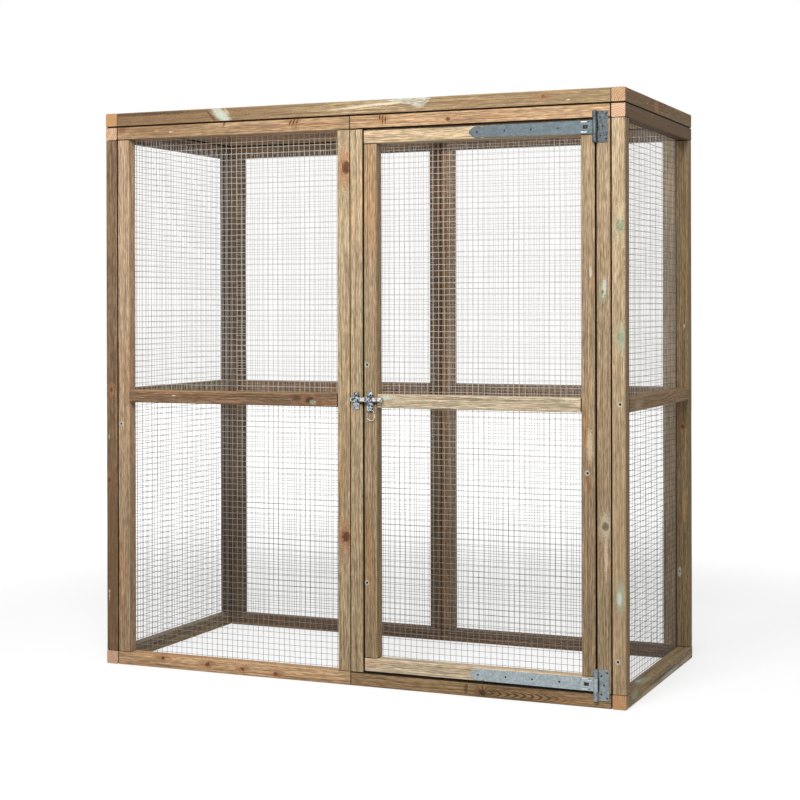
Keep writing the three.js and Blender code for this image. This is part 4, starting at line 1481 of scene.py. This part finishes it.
@dataclass
class TeeHinge:
    """A tee hinge: a plate on the frame, a long strap on the door and the pin."""

    KNUCKLE_SIDES = 28
    BORE_SIDES = 24
    PIN_SIDES = 20
    HOLE_SIDES = 16
    RIB_HOLE_SIDES = 14
    CORNER_STEPS = 4

    axis_x: float = 0.8078
    axis_y: float = -0.41275
    height: float = 1.732
    drop: float = 1.662
    sheet: float = 0.003
    knuckle: float = 0.0073
    bore: float = 0.0041
    start: float = 0.0016
    strap_half: float = 0.02
    strap_outline: Pairs = (
        (353, 18), (353.7, 16.2), (355, 14.6), (358, 13.5), (361, 15), (365, 16.8),
        (370, 17.7), (375, 18), (380, 17.2), (386, 14.8), (391, 11.9), (396, 7.9), (400, 3.4),
        (402, 0.8),
    )
    strap_holes: Pairs = ((-115, 0), (-201, 0), (-285.8, 0), (-375, 0))
    hole_radius: float = 0.0031
    plate_width: float = 0.04
    plate_half: float = 0.046
    plate_corner: float = 0.002
    plate_holes: Pairs = (
        (16, 27.6), (34, 37.7), (24, 0), (16, -27.6), (34, -37.7),
    )
    slot_half: float = 0.0204
    slot_reach: float = 0.0099
    pad: Three = (0.014, 0.046, 0.0118)
    pad_height: float = 0.0014
    rib: Four = (0.0245, 0.0445, 0.0132, 0.0176)
    rib_height: float = 0.0021
    pad_edge: float = 0.0012
    rib_edge: float = 0.0013
    rib_holes: Pairs = ((-20.5, 15), (-20.5, -15), (-48.5, 12))
    rib_hole_radius: float = 0.0019
    window: Pair = (0.008, 0.0055)
    clear: float = 0.01
    drill: float = 0.02
    bore_half: float = 0.06
    highlight_from: float = 1.15
    flat: float = 0.96
    edge: float = 0.001
    pin_radius: float = 0.004
    pin_reach: float = 0.0463
    pin_dome: Pairs = ((1.4, 0.0), (1.0, 0.0012), (0.72, 0.0008))
    screw_size: float = 0.78

    def __post_init__(self) -> None:
        """Finds the depths of the sheet's two faces."""
        self.back_y = self.axis_y + self.knuckle
        self.face_y = self.back_y - self.sheet

    def _at(self, across: float, up: float, y: float) -> Vector:
        """Returns a point by its distances from the hinge's middle."""
        return Vector((self.axis_x + across, y, self.height + up))

    def _slab(
        self, name: str, x: Pair, z: Pair, proud: float = 0.0, deep: float = 0.0
    ) -> Thing:
        """Makes a block of the sheet.

        Args:
            name: The block's name.
            x: Its left and right end, from the hinge's axis.
            z: Its lower and upper end, from the hinge's middle.
            proud: How far it stands before the sheet's front.
            deep: How far it reaches behind the sheet's back.

        Returns:
            The block.
        """
        low, high = zip(x, z)
        front, back = self.face_y - proud, self.back_y + deep
        return Bench.block(name, self._at(*low, front), self._at(*high, back))

    def _drills(self, holes: Pairs, radius: float, sides: int) -> list[Thing]:
        """Makes the drills of round holes, whose places are in millimetres."""
        spots = [self._at(across * MM, up * MM, self.face_y) for across, up in holes]
        return [Bench.rod("drill", spot, radius, self.drill, Axis.Y, sides) for spot in spots]

    def _pole(self, name: str, low: float, high: float, radius: float, sides: int) -> Thing:
        """Makes a bar on the hinge's axis between two heights."""
        centre = self._at(0, (low + high) / 2, self.axis_y)
        return Bench.rod(name, centre, radius, high - low, Axis.Z, sides)

    def _finished(self, made: Thing, drills: list[Thing]) -> Thing:
        """Bores the pin's hole and the others, and rounds a half's edges."""
        bore = self._pole("bore", -self.bore_half, self.bore_half, self.bore, self.BORE_SIDES)
        Bench.combine(made, "DIFFERENCE", bore, *drills)
        Bench.ease(made, self.edge)
        return Bench.smooth(made)

    def strap(self) -> Thing:
        """Models the strap with its spade end, raised pad, window and holes."""
        places = [self.axis_x - place * MM for place, _ in self.strap_outline]
        half = self.strap_half
        made = self._slab("strap", (places[-1] - self.axis_x, -self.start), (-half, half))
        Bench.slice(made, places[:-1])
        for x, (_, wanted) in zip(places, self.strap_outline):
            with Bench.editing(made, Pick.VERT, lambda vert: abs(vert.co.x - x) < NEAR):
                centre = (x, self.face_y, self.height)
                bpy.ops.transform.resize(value=(1, 1, wanted * MM / half), center_override=centre)
        near, far, half_pad = self.pad
        lift = self.pad_height
        pad = self._slab("pad", (-far, -near), (-half_pad, half_pad), lift, -lift)
        Bench.ease(pad, self.pad_edge, 3)
        knuckle = self._pole("knuckle", -half, half, self.knuckle, self.KNUCKLE_SIDES)
        Bench.combine(made, "UNION", pad, knuckle)
        start, finish, inside, outside = self.rib
        for way in (1, -1):
            heights = sorted((way * inside, way * outside))
            rib = self._slab("rib", (-finish, -start), heights, self.rib_height, -MM)
            Bench.ease(rib, self.rib_edge, 3)
            Bench.combine(made, "UNION", rib)
        half_long, half_tall = self.window
        centre = -(near + far) / 2
        window = self._slab(
            "window", (centre - half_long, centre + half_long), (-half_tall, half_tall),
            self.clear, self.clear,
        )
        drills = self._drills(self.strap_holes, self.hole_radius, self.HOLE_SIDES)
        drills += self._drills(self.rib_holes, self.rib_hole_radius, self.RIB_HOLE_SIDES)
        return self._finished(made, [window, *drills])

    def plate(self) -> Thing:
        """Models the plate with its two knuckles and five holes."""
        half, gap = self.plate_half, self.slot_half
        made = self._slab("plate", (self.start, self.plate_width), (-half, half))
        Bench.bevel(made, Bench.runs_along(made, Axis.Y), self.plate_corner, self.CORNER_STEPS)
        reach = (-self.clear, self.slot_reach)
        slot = self._slab("slot", reach, (-gap, gap), self.clear, self.clear)
        Bench.combine(made, "DIFFERENCE", slot)
        for low, high in ((gap, half), (-half, -gap)):
            knuckle = self._pole("knuckle", low, high, self.knuckle, self.KNUCKLE_SIDES)
            Bench.combine(made, "UNION", knuckle)
        drills = self._drills(self.plate_holes, self.hole_radius, self.HOLE_SIDES)
        return self._finished(made, drills)

    def pin(self) -> Thing:
        """Models the pin with a low domed head at each end."""
        reach = self.pin_reach
        made = self._pole("pin", -reach, reach, self.pin_radius, self.PIN_SIDES)

        def is_cap(face: bpy.types.MeshPolygon) -> bool:
            """Says whether the face closes the end that is drawn out."""
            return face.normal.z * way > self.flat and abs(face.center.z - end.z) < NEAR

        for way in (1, -1):
            end = self._at(0, way * reach, self.axis_y)
            for share, rise in self.pin_dome:
                step = Vector((0, 0, way * rise))
                with Bench.editing(made, Pick.FACE, is_cap):
                    bpy.ops.mesh.extrude_region_move(TRANSFORM_OT_translate={"value": step})
                    end = end + step
                    bpy.ops.transform.resize(value=(share, share, 1), center_override=end)
        return Bench.smooth(made)

    def _brighten(self, made: Thing, bright: Finish) -> None:
        """Gives the rounded edges and the ribs of the sheet a brighter zinc, which is a painted
        highlight.
        """
        made.data.materials.append(bright)
        for face in made.data.polygons:
            away = abs(face.center.x - self.axis_x) > self.knuckle * self.highlight_from
            edge = abs(face.normal.y) < self.flat and face.center.y < self.back_y - MM
            rib = face.center.y < self.face_y - (self.rib_height + self.pad_height) / 2
            if away and (edge or rib):
                face.material_index = 1

    def build(self, zinc: dict[str, Finish], screw: Screw) -> None:
        """Builds the top hinge, copies it to the door's foot and hangs every piece on its body."""
        halves = {
            "strap": (self.strap(), Body.DOOR, self.strap_holes),
            "plate": (self.plate(), Body.CAGE, self.plate_holes),
            "pin": (self.pin(), Body.CAGE, ()),
        }
        for end, level, lift in (("top", "upper", 0.0), ("bottom", "lower", -self.drop)):
            raised = Vector((0, 0, lift))
            for part, (pattern, body, _) in halves.items():
                made = Bench.copy(
                    pattern, f"{end}_hinge_{part}_steel", Matrix.Translation(raised)
                )
                steel = zinc[f"{level}_{'plate' if part == 'plate' else 'strap'}"]
                hand_over(made, body, Slot.HINGE, f"{end}_hinge_{part}", finish=steel)
                if part != "pin":
                    self._brighten(made, zinc["worn_edge"])
            for part, (_, body, holes) in halves.items():
                depth = self.back_y - 2 * MM
                spots = [
                    (self._at(across * MM, up * MM, depth) + raised, FRONT) for across, up in holes
                ]
                if spots:
                    made = screw.drive(f"{end}_hinge_{part}_screws", spots, self.screw_size)
                    hand_over(made, body, Slot.HINGE, finish=zinc["dark_screws"])
        for pattern, _, _ in halves.values():
            bpy.data.objects.remove(pattern)


@dataclass
class SlidingBolt:
    """The latch: a keep on the frame, a guide on the door, the bolt with its knob and the link."""

    BAR_SIDES = 40
    KNOB_SIDES = 36
    COLLAR_SIDES = 32
    EYE_SIDES = 28
    BORE_SIDES = 24
    HOLE_SIDES = 16
    CORNER_STEPS = 8
    LINK_SIDES = 48
    WIRE_SIDES = 12

    axis_y: float = -0.41595
    axis_z: float = 0.906
    back_y: float = -0.40545
    sheet: float = 0.0025
    inner: float = 0.0084
    outer: float = 0.0109
    width: float = 0.025
    tunnel: float = 1.2
    ear_widths: Pair = (0.016, 0.022)
    ear_corners: Pair = (0.007, 0.005)
    ear_hole: float = 0.0026
    keep_x: float = 0.0248
    guide_x: float = 0.0728
    keep_ears: Pair = (0.013, 0.021)
    guide_ears: Pair = (0.015, 0.027)
    band_edges: Pair = (0.0004, 0.0003)
    bolt_radius: float = 0.008
    bolt_ends: Pairs = ((0.0158, 0.002), (0.0993, 0.0006))
    knob_radius: float = 0.00985
    knob_start: float = 0.0996
    knob_length: float = 0.021
    neck: float = 0.0065
    neck_length: float = 0.006
    neck_edge: float = 0.0006
    tenon: Three = (-0.001, 0.01, 0.004)
    tenon_bore: Three = (-0.0023, 0.0103, 0.0043)
    eye_bore: float = 0.0023
    eye_outer: float = 0.0043
    eye_width: float = 0.008
    eye_clear: float = 1.3
    drill: float = 0.02
    link_pivot: Three = (0.0768, -0.41035, 0.8724)
    link_radius: float = 0.013
    link_wire: float = 0.0011
    link_straight: float = 0.007
    screw_lift: float = 0.0006
    screw_size: float = 0.8

    def _on_axis(self, x: float) -> Vector:
        """Returns a point on the bolt's axis."""
        return Vector((x, self.axis_y, self.axis_z))

    def _bar(self, name: str, low: float, high: float, radius: float, sides: int) -> Thing:
        """Makes a round bar on the bolt's axis between two places."""
        return Bench.rod(name, self._on_axis((low + high) / 2), radius, high - low, Axis.X, sides)

    def _arch(self, x: float, half: float, radius: float, back: float) -> Thing:
        """Makes a bar on the bolt's axis whose rear half is widened to a block."""
        made = self._bar("arch", x - half, x + half, radius, self.BAR_SIDES)
        Bench.combine(made, "UNION", Bench.block(
            "cheeks", (x - half, self.axis_y, self.axis_z - radius),
            (x + half, back, self.axis_z + radius),
        ))
        return made

    def _band(self, x: float, ears: Pair) -> Thing:
        """Models a strip of sheet bent over the bolt, with an ear above and below.

        Args:
            x: The middle of its width.
            ears: The lengths of the upper and the lower ear.

        Returns:
            The strip as one closed body.
        """
        half = self.width / 2
        made = self._arch(x, half, self.outer, self.back_y)
        hollow = self._arch(x, half * self.tunnel, self.inner, self.back_y + 2 * MM)
        Bench.combine(made, "DIFFERENCE", hollow)
        front = self.back_y - self.sheet
        for way, length, width, corner in zip((1, -1), ears, self.ear_widths, self.ear_corners):
            root = self.axis_z + way * (self.outer - MM)
            tip = self.axis_z + way * (self.outer + length)
            low, high = sorted((root, tip))
            half = width / 2
            ear = Bench.block("ear", (x - half, front, low), (x + half, self.back_y, high))
            at_tip, crosswise = Bench.lies_at(ear, Axis.Z, tip), Bench.runs_along(ear, Axis.Y)
            Bench.bevel(
                ear, lambda edge: at_tip(edge) and crosswise(edge), corner, self.CORNER_STEPS
            )
            Bench.combine(made, "UNION", ear)
            hole = Vector((x, front, self.axis_z + way * (self.outer + length / 2)))
            drill = Bench.rod("drill", hole, self.ear_hole, self.drill, Axis.Y, self.HOLE_SIDES)
            Bench.combine(made, "DIFFERENCE", drill)
        return made

    def keep(self) -> Thing:
        """Models the keep."""
        made = self._band(self.keep_x, self.keep_ears)
        Bench.ease(made, self.band_edges[0])
        return made

    def guide(self) -> Thing:
        """Models the guide, whose foot is rolled into an eye for the link."""
        made = self._band(self.guide_x, self.guide_ears)
        centre = Vector(self.link_pivot)
        for operation, radius, width, sides in (
            ("UNION", self.eye_outer, self.eye_width, self.EYE_SIDES),
            ("DIFFERENCE", self.eye_bore, self.eye_width * self.eye_clear, self.BORE_SIDES),
        ):
            eye = Bench.rod("eye", centre, radius, width, Axis.X, sides)
            Bench.combine(made, operation, eye)
        Bench.ease(made, self.band_edges[1])
        return made

    def bar(self) -> Thing:
        """Models the bolt's bar with its chamfered tip and the tenon in the knob."""
        (start, _), (end, _) = self.bolt_ends
        made = self._bar("bar", start, end, self.bolt_radius, self.BAR_SIDES)
        for place, offset in self.bolt_ends:
            Bench.bevel(made, Bench.lies_at(made, Axis.X, place), offset, 3)
        low, high, radius = self.tenon
        tenon = self._bar("tenon", end + low, end + high, radius, self.BORE_SIDES)
        Bench.combine(made, "UNION", tenon)
        return made

    def knob(self) -> Thing:
        """Models the turned knob, bored for the bar's tenon."""
        bpy.ops.mesh.primitive_uv_sphere_add(
            segments=self.KNOB_SIDES, ring_count=self.KNOB_SIDES // 2, radius=1,
            rotation=Bench.TURNS[Axis.X],
            location=self._on_axis(self.knob_start + self.knob_length / 2),
            scale=(self.knob_radius, self.knob_radius, self.knob_length / 2),
        )
        made = Bench.settle(bpy.context.object, "knob")
        start, (low, high, radius) = self.knob_start, self.tenon_bore
        end = start + self.neck_length
        collar = self._bar("collar", start, end, self.neck, self.COLLAR_SIDES)
        Bench.ease(collar, self.neck_edge)
        Bench.combine(made, "UNION", collar)
        bore = self._bar("bore", start + low, start + high, radius, self.BORE_SIDES)
        Bench.combine(made, "DIFFERENCE", bore)
        return made

    def link(self) -> Thing:
        """Models the oval link that hangs from the eye."""
        bpy.ops.mesh.primitive_torus_add(
            major_radius=self.link_radius, minor_radius=self.link_wire,
            major_segments=self.LINK_SIDES, minor_segments=self.WIRE_SIDES,
        )
        made = bpy.context.object
        for way in (1, -1):
            with Bench.editing(made, Pick.VERT, lambda vert: vert.co.y * way > NEAR):
                bpy.ops.transform.translate(value=(0, way * self.link_straight / 2, 0))
        drop = Vector((0, 0, -self.link_radius - self.link_straight / 2))
        turn = Matrix.Rotation(math.pi / 2, 4, "X")
        made.matrix_world = Matrix.Translation(Vector(self.link_pivot) + drop) @ turn
        return Bench.settle(made, "link")

    def build(self, zinc: dict[str, Finish], screw: Screw) -> None:
        """Builds every piece of the latch and hangs it on its body."""
        for model, body, node, finish in (
            (self.keep, Body.CAGE, "latch_keep", "latch_sheet"),
            (self.guide, Body.DOOR, "latch_guide", "latch_sheet"),
            (self.bar, Body.BOLT, "latch_bolt", "latch_bright"),
            (self.knob, Body.BOLT, "latch_knob", "latch_bright"),
            (self.link, Body.LINK, "latch_link", "latch_bright"),
        ):
            made = Bench.smooth(model())
            made.name = made.data.name = f"{node}_zinc"
            hand_over(made, body, Slot.LATCH, node, finish=zinc[finish])
        y = self.back_y - self.sheet + self.screw_lift
        for x, (upper, lower), body in (
            (self.keep_x, self.keep_ears, Body.CAGE), (self.guide_x, self.guide_ears, Body.DOOR)
        ):
            steps = (self.outer + upper / 2, -self.outer - lower / 2)
            spots = [(Vector((x, y, self.axis_z + step)), FRONT) for step in steps]
            made = screw.drive(f"latch_{body.value}_screws", spots, self.screw_size)
            hand_over(made, body, Slot.LATCH, finish=zinc["latch_bright"])


@dataclass
class PanelScrews:
    """The screws that hold the panels and the battens together."""

    sunk: float = 0.0028
    size: float = 0.85

    def spots(self, body: Body) -> list[tuple[Vector, Side]]:
        """Finds where each screw of a body sits and the way it faces."""
        found = []
        for node, grown in GROWTH.items():
            moving = node.startswith("door_") and not node.startswith("door_frame")
            if moving == (body is Body.DOOR):
                timber = Timber(node)
                for mark in grown.marks:
                    if isinstance(mark, Pit):
                        inwards = Vector(mark.side.value) * self.sunk
                        found.append((timber.spot(mark) - inwards, mark.side))
        return found

    def build(self, finish: Finish, screw: Screw) -> None:
        for body in (Body.CAGE, Body.DOOR):
            made = screw.drive(f"{body.value}_timber_screws", self.spots(body), self.size)
            hand_over(made, body, Slot.LATCH, finish=finish)


@dataclass
class Studio:
    """The camera, the lamp, the pale floor and the white surroundings."""

    place: Three = (2.26908, -5.3434, 1.19641)
    yaw: float = 0.40112
    pitch: float = -0.00148
    roll: float = -0.00222
    lens: float = 77.3306
    shift: float = -0.11309
    sensor: float = 36.0
    far: float = 100.0
    key_place: Three = (0.7, -3.7, 3.7)
    key_aim: Three = (0.0, -0.3, 1.1)
    key_power: float = 165.0
    key_size: float = 1.5
    key_stretch: float = 1.6
    fill: float = 0.36
    floor_half: float = 14.0
    floor_drop: float = 0.0004
    floor_shine: float = 0.66
    floor_reach: Pair = (1.6, 4.5)
    floor_tone: Colour = (0.46, 0.46, 0.465)
    floor_spread: float = 0.97
    floor_roughness: float = 0.8
    floor_specular: float = 0.1
    floor_grain: float = 3.0

    @staticmethod
    def _hang(name: str, data: bpy.types.ID, place: Vector) -> Thing:
        """Puts a camera or a lamp in its place."""
        made = bpy.data.objects.new(name, data)
        made.location = place
        bpy.context.scene.collection.objects.link(made)
        return made

    def camera(self) -> None:
        """Places the camera at the photograph's viewpoint."""
        forward = Vector((
            -math.sin(self.yaw) * math.cos(self.pitch),
            math.cos(self.yaw) * math.cos(self.pitch),
            math.sin(self.pitch),
        ))
        level = Vector((math.cos(self.yaw), math.sin(self.yaw), 0))
        above = level.cross(forward)
        right = level * math.cos(self.roll) + above * math.sin(self.roll)
        up = above * math.cos(self.roll) - level * math.sin(self.roll)
        data = bpy.data.cameras.new("camera")
        data.lens = self.lens
        data.sensor_width = self.sensor
        data.shift_y = self.shift
        data.clip_end = self.far
        made = self._hang("camera", data, self.place)
        made.rotation_euler = Matrix((right, up, -forward)).transposed().to_euler()
        bpy.context.scene.camera = made

    def lamp(self) -> None:
        """Hangs the soft key lamp in front of the aviary."""
        data = bpy.data.lights.new("key", "AREA")
        data.shape = "RECTANGLE"
        data.size = self.key_size * self.key_stretch
        data.size_y = self.key_size
        data.energy = self.key_power
        made = self._hang("key", data, self.key_place)
        aim = Vector(self.key_aim) - Vector(self.key_place)
        made.rotation_euler = aim.to_track_quat("-Z", "Y").to_euler()

    @staticmethod
    def _seen(recipe: Recipe) -> Signal:
        """Returns 1 for what the camera, a reflection or a clear surface shows."""
        direct, glossy, clear = (
            recipe.outlet("ShaderNodeLightPath", f"Is {kind} Ray")
            for kind in ("Camera", "Glossy", "Transmission")
        )
        return direct.larger(glossy).larger(clear)

    def surroundings(self) -> None:
        """Makes the world white to look at and softer as a light."""
        world = bpy.data.worlds.new("surroundings")
        recipe = Recipe.on(world)
        strength = self._seen(recipe) * (1 - self.fill) + self.fill
        recipe.end("World", "Background", Color=WHITE_LIGHT, Strength=strength)
        bpy.context.scene.world = world

    def floor(self) -> None:
        """Lays a pale floor that keeps the aviary's shadow."""
        place = (0, 0, -self.floor_drop)
        bpy.ops.mesh.primitive_plane_add(size=2 * self.floor_half, location=place)
        made = Bench.settle(bpy.context.object, "floor")
        material = bpy.data.materials.new("pale_floor")
        recipe = Recipe.on(material)
        spot = recipe.spot()
        shine = spot.length().smooth(*self.floor_reach, self.floor_shine, 1.0)
        dusty = shaded(self.floor_tone, self.floor_spread)
        mottled = recipe.noise(spot, self.floor_grain)
        recipe.end(
            "Material", "BsdfPrincipled",
            Roughness=self.floor_roughness, Specular_IOR_Level=self.floor_specular,
            Base_Color=recipe.mix(mottled, self.floor_tone, dusty),
            Emission_Color=WHITE_LIGHT, Emission_Strength=shine * self._seen(recipe),
        )
        made.data.materials.append(material)

    def build(self) -> None:
        """Sets up everything round the aviary."""
        bpy.context.scene.view_settings.view_transform = "Standard"
        self.camera()
        self.lamp()
        self.surroundings()
        self.floor()


RAILS = ("top_rail", "bottom_rail")
BACK_MEMBERS = (*RAILS, "inner_stile", "outer_stile", "mid_rail")
SIDE_MEMBERS = (*RAILS, "front_stile", "back_stile", "mid_rail")
FRONT_MEMBERS = (*RAILS, "left_stile", "right_stile", "mid_rail")
ROOF_MEMBERS = ("left_rail", "right_rail", "front_rail", "back_rail", "mid_rail")
LEVEL_MEMBERS = (*RAILS, "mid_rail")
PANELS = (
    Panel("left", SIDE_MEMBERS, Slot.BROWN_PINE, RIGHT, stapled=LEVEL_MEMBERS),
    Panel("right", SIDE_MEMBERS, Slot.TAN_PINE, LEFT, stapled=LEVEL_MEMBERS),
    Panel("back_left", BACK_MEMBERS, Slot.BROWN_PINE, FRONT, stapled=BACK_MEMBERS),
    Panel("back_right", BACK_MEMBERS, Slot.BROWN_PINE, FRONT, stapled=BACK_MEMBERS),
    Panel("front", FRONT_MEMBERS, Slot.TAN_PINE, BACK, stapled=FRONT_MEMBERS),
    Panel("door_frame", FRONT_MEMBERS[:-1], Slot.TAN_PINE),
    Panel("door", FRONT_MEMBERS, Slot.TAN_PINE, BACK, Body.DOOR, FRONT_MEMBERS),
    Panel("roof", ROOF_MEMBERS, Slot.BROWN_PINE, TOP, stapled=ROOF_MEMBERS),
)
FINISHES = (
    ZincFinish(
        "bright_wire", (0.72, 0.69, 0.63), (0.5, 0.475, 0.43), 700, 0.5, 0.2, low_shade=0.38,
    ),
    # Painted shade: a darker copy of the wire for the wires that run front to back.
    ZincFinish(
        "dull_wire", (0.09, 0.085, 0.075), (0.05, 0.045, 0.04), 700, 0.6, 0.3, low_shade=0.7,
    ),
    ZincFinish("upper_strap", (0.14, 0.175, 0.19), (0.085, 0.105, 0.115), 260, 0.45),
    ZincFinish("upper_plate", (0.14, 0.155, 0.16), (0.03, 0.035, 0.04), 260, 0.45),
    ZincFinish("lower_strap", (0.42, 0.48, 0.5), (0.24, 0.29, 0.31), 200, 0.42),
    ZincFinish("lower_plate", (0.3, 0.34, 0.35), (0.15, 0.18, 0.19), 200, 0.42),
    # Painted highlight on the hinges' rounded edges and ribs.
    ZincFinish("worn_edge", (0.66, 0.7, 0.71), (0.42, 0.47, 0.49), 260, 0.4, 0.5),
    ZincFinish("dark_screws", (0.045, 0.05, 0.055), (0.02, 0.022, 0.025), 900, 0.5),
    ZincFinish("latch_sheet", (0.52, 0.59, 0.63), (0.025, 0.035, 0.045), 260, 0.3, spread=0.13),
    ZincFinish("latch_bright", (0.86, 0.83, 0.8), (0.25, 0.24, 0.23), 200, 0.26, spread=0.25),
)


def main() -> None:
    """Builds the studio and the aviary, one sub-assembly after the other."""
    logging.basicConfig(level=logging.INFO, format="%(message)s")
    Studio().build()
    effects = Effects()
    zinc = {finish.name: finish.material(effects) for finish in FINISHES}
    for panel in PANELS:
        panel.build(PineFinish(), (zinc["bright_wire"], zinc["dull_wire"]), effects)
    screw = Screw()
    TeeHinge().build(zinc, screw)
    SlidingBolt().build(zinc, screw)
    PanelScrews().build(zinc["dark_screws"], screw)
    bpy.data.objects.remove(screw.pattern)


if __name__ == "__main__":
    main()
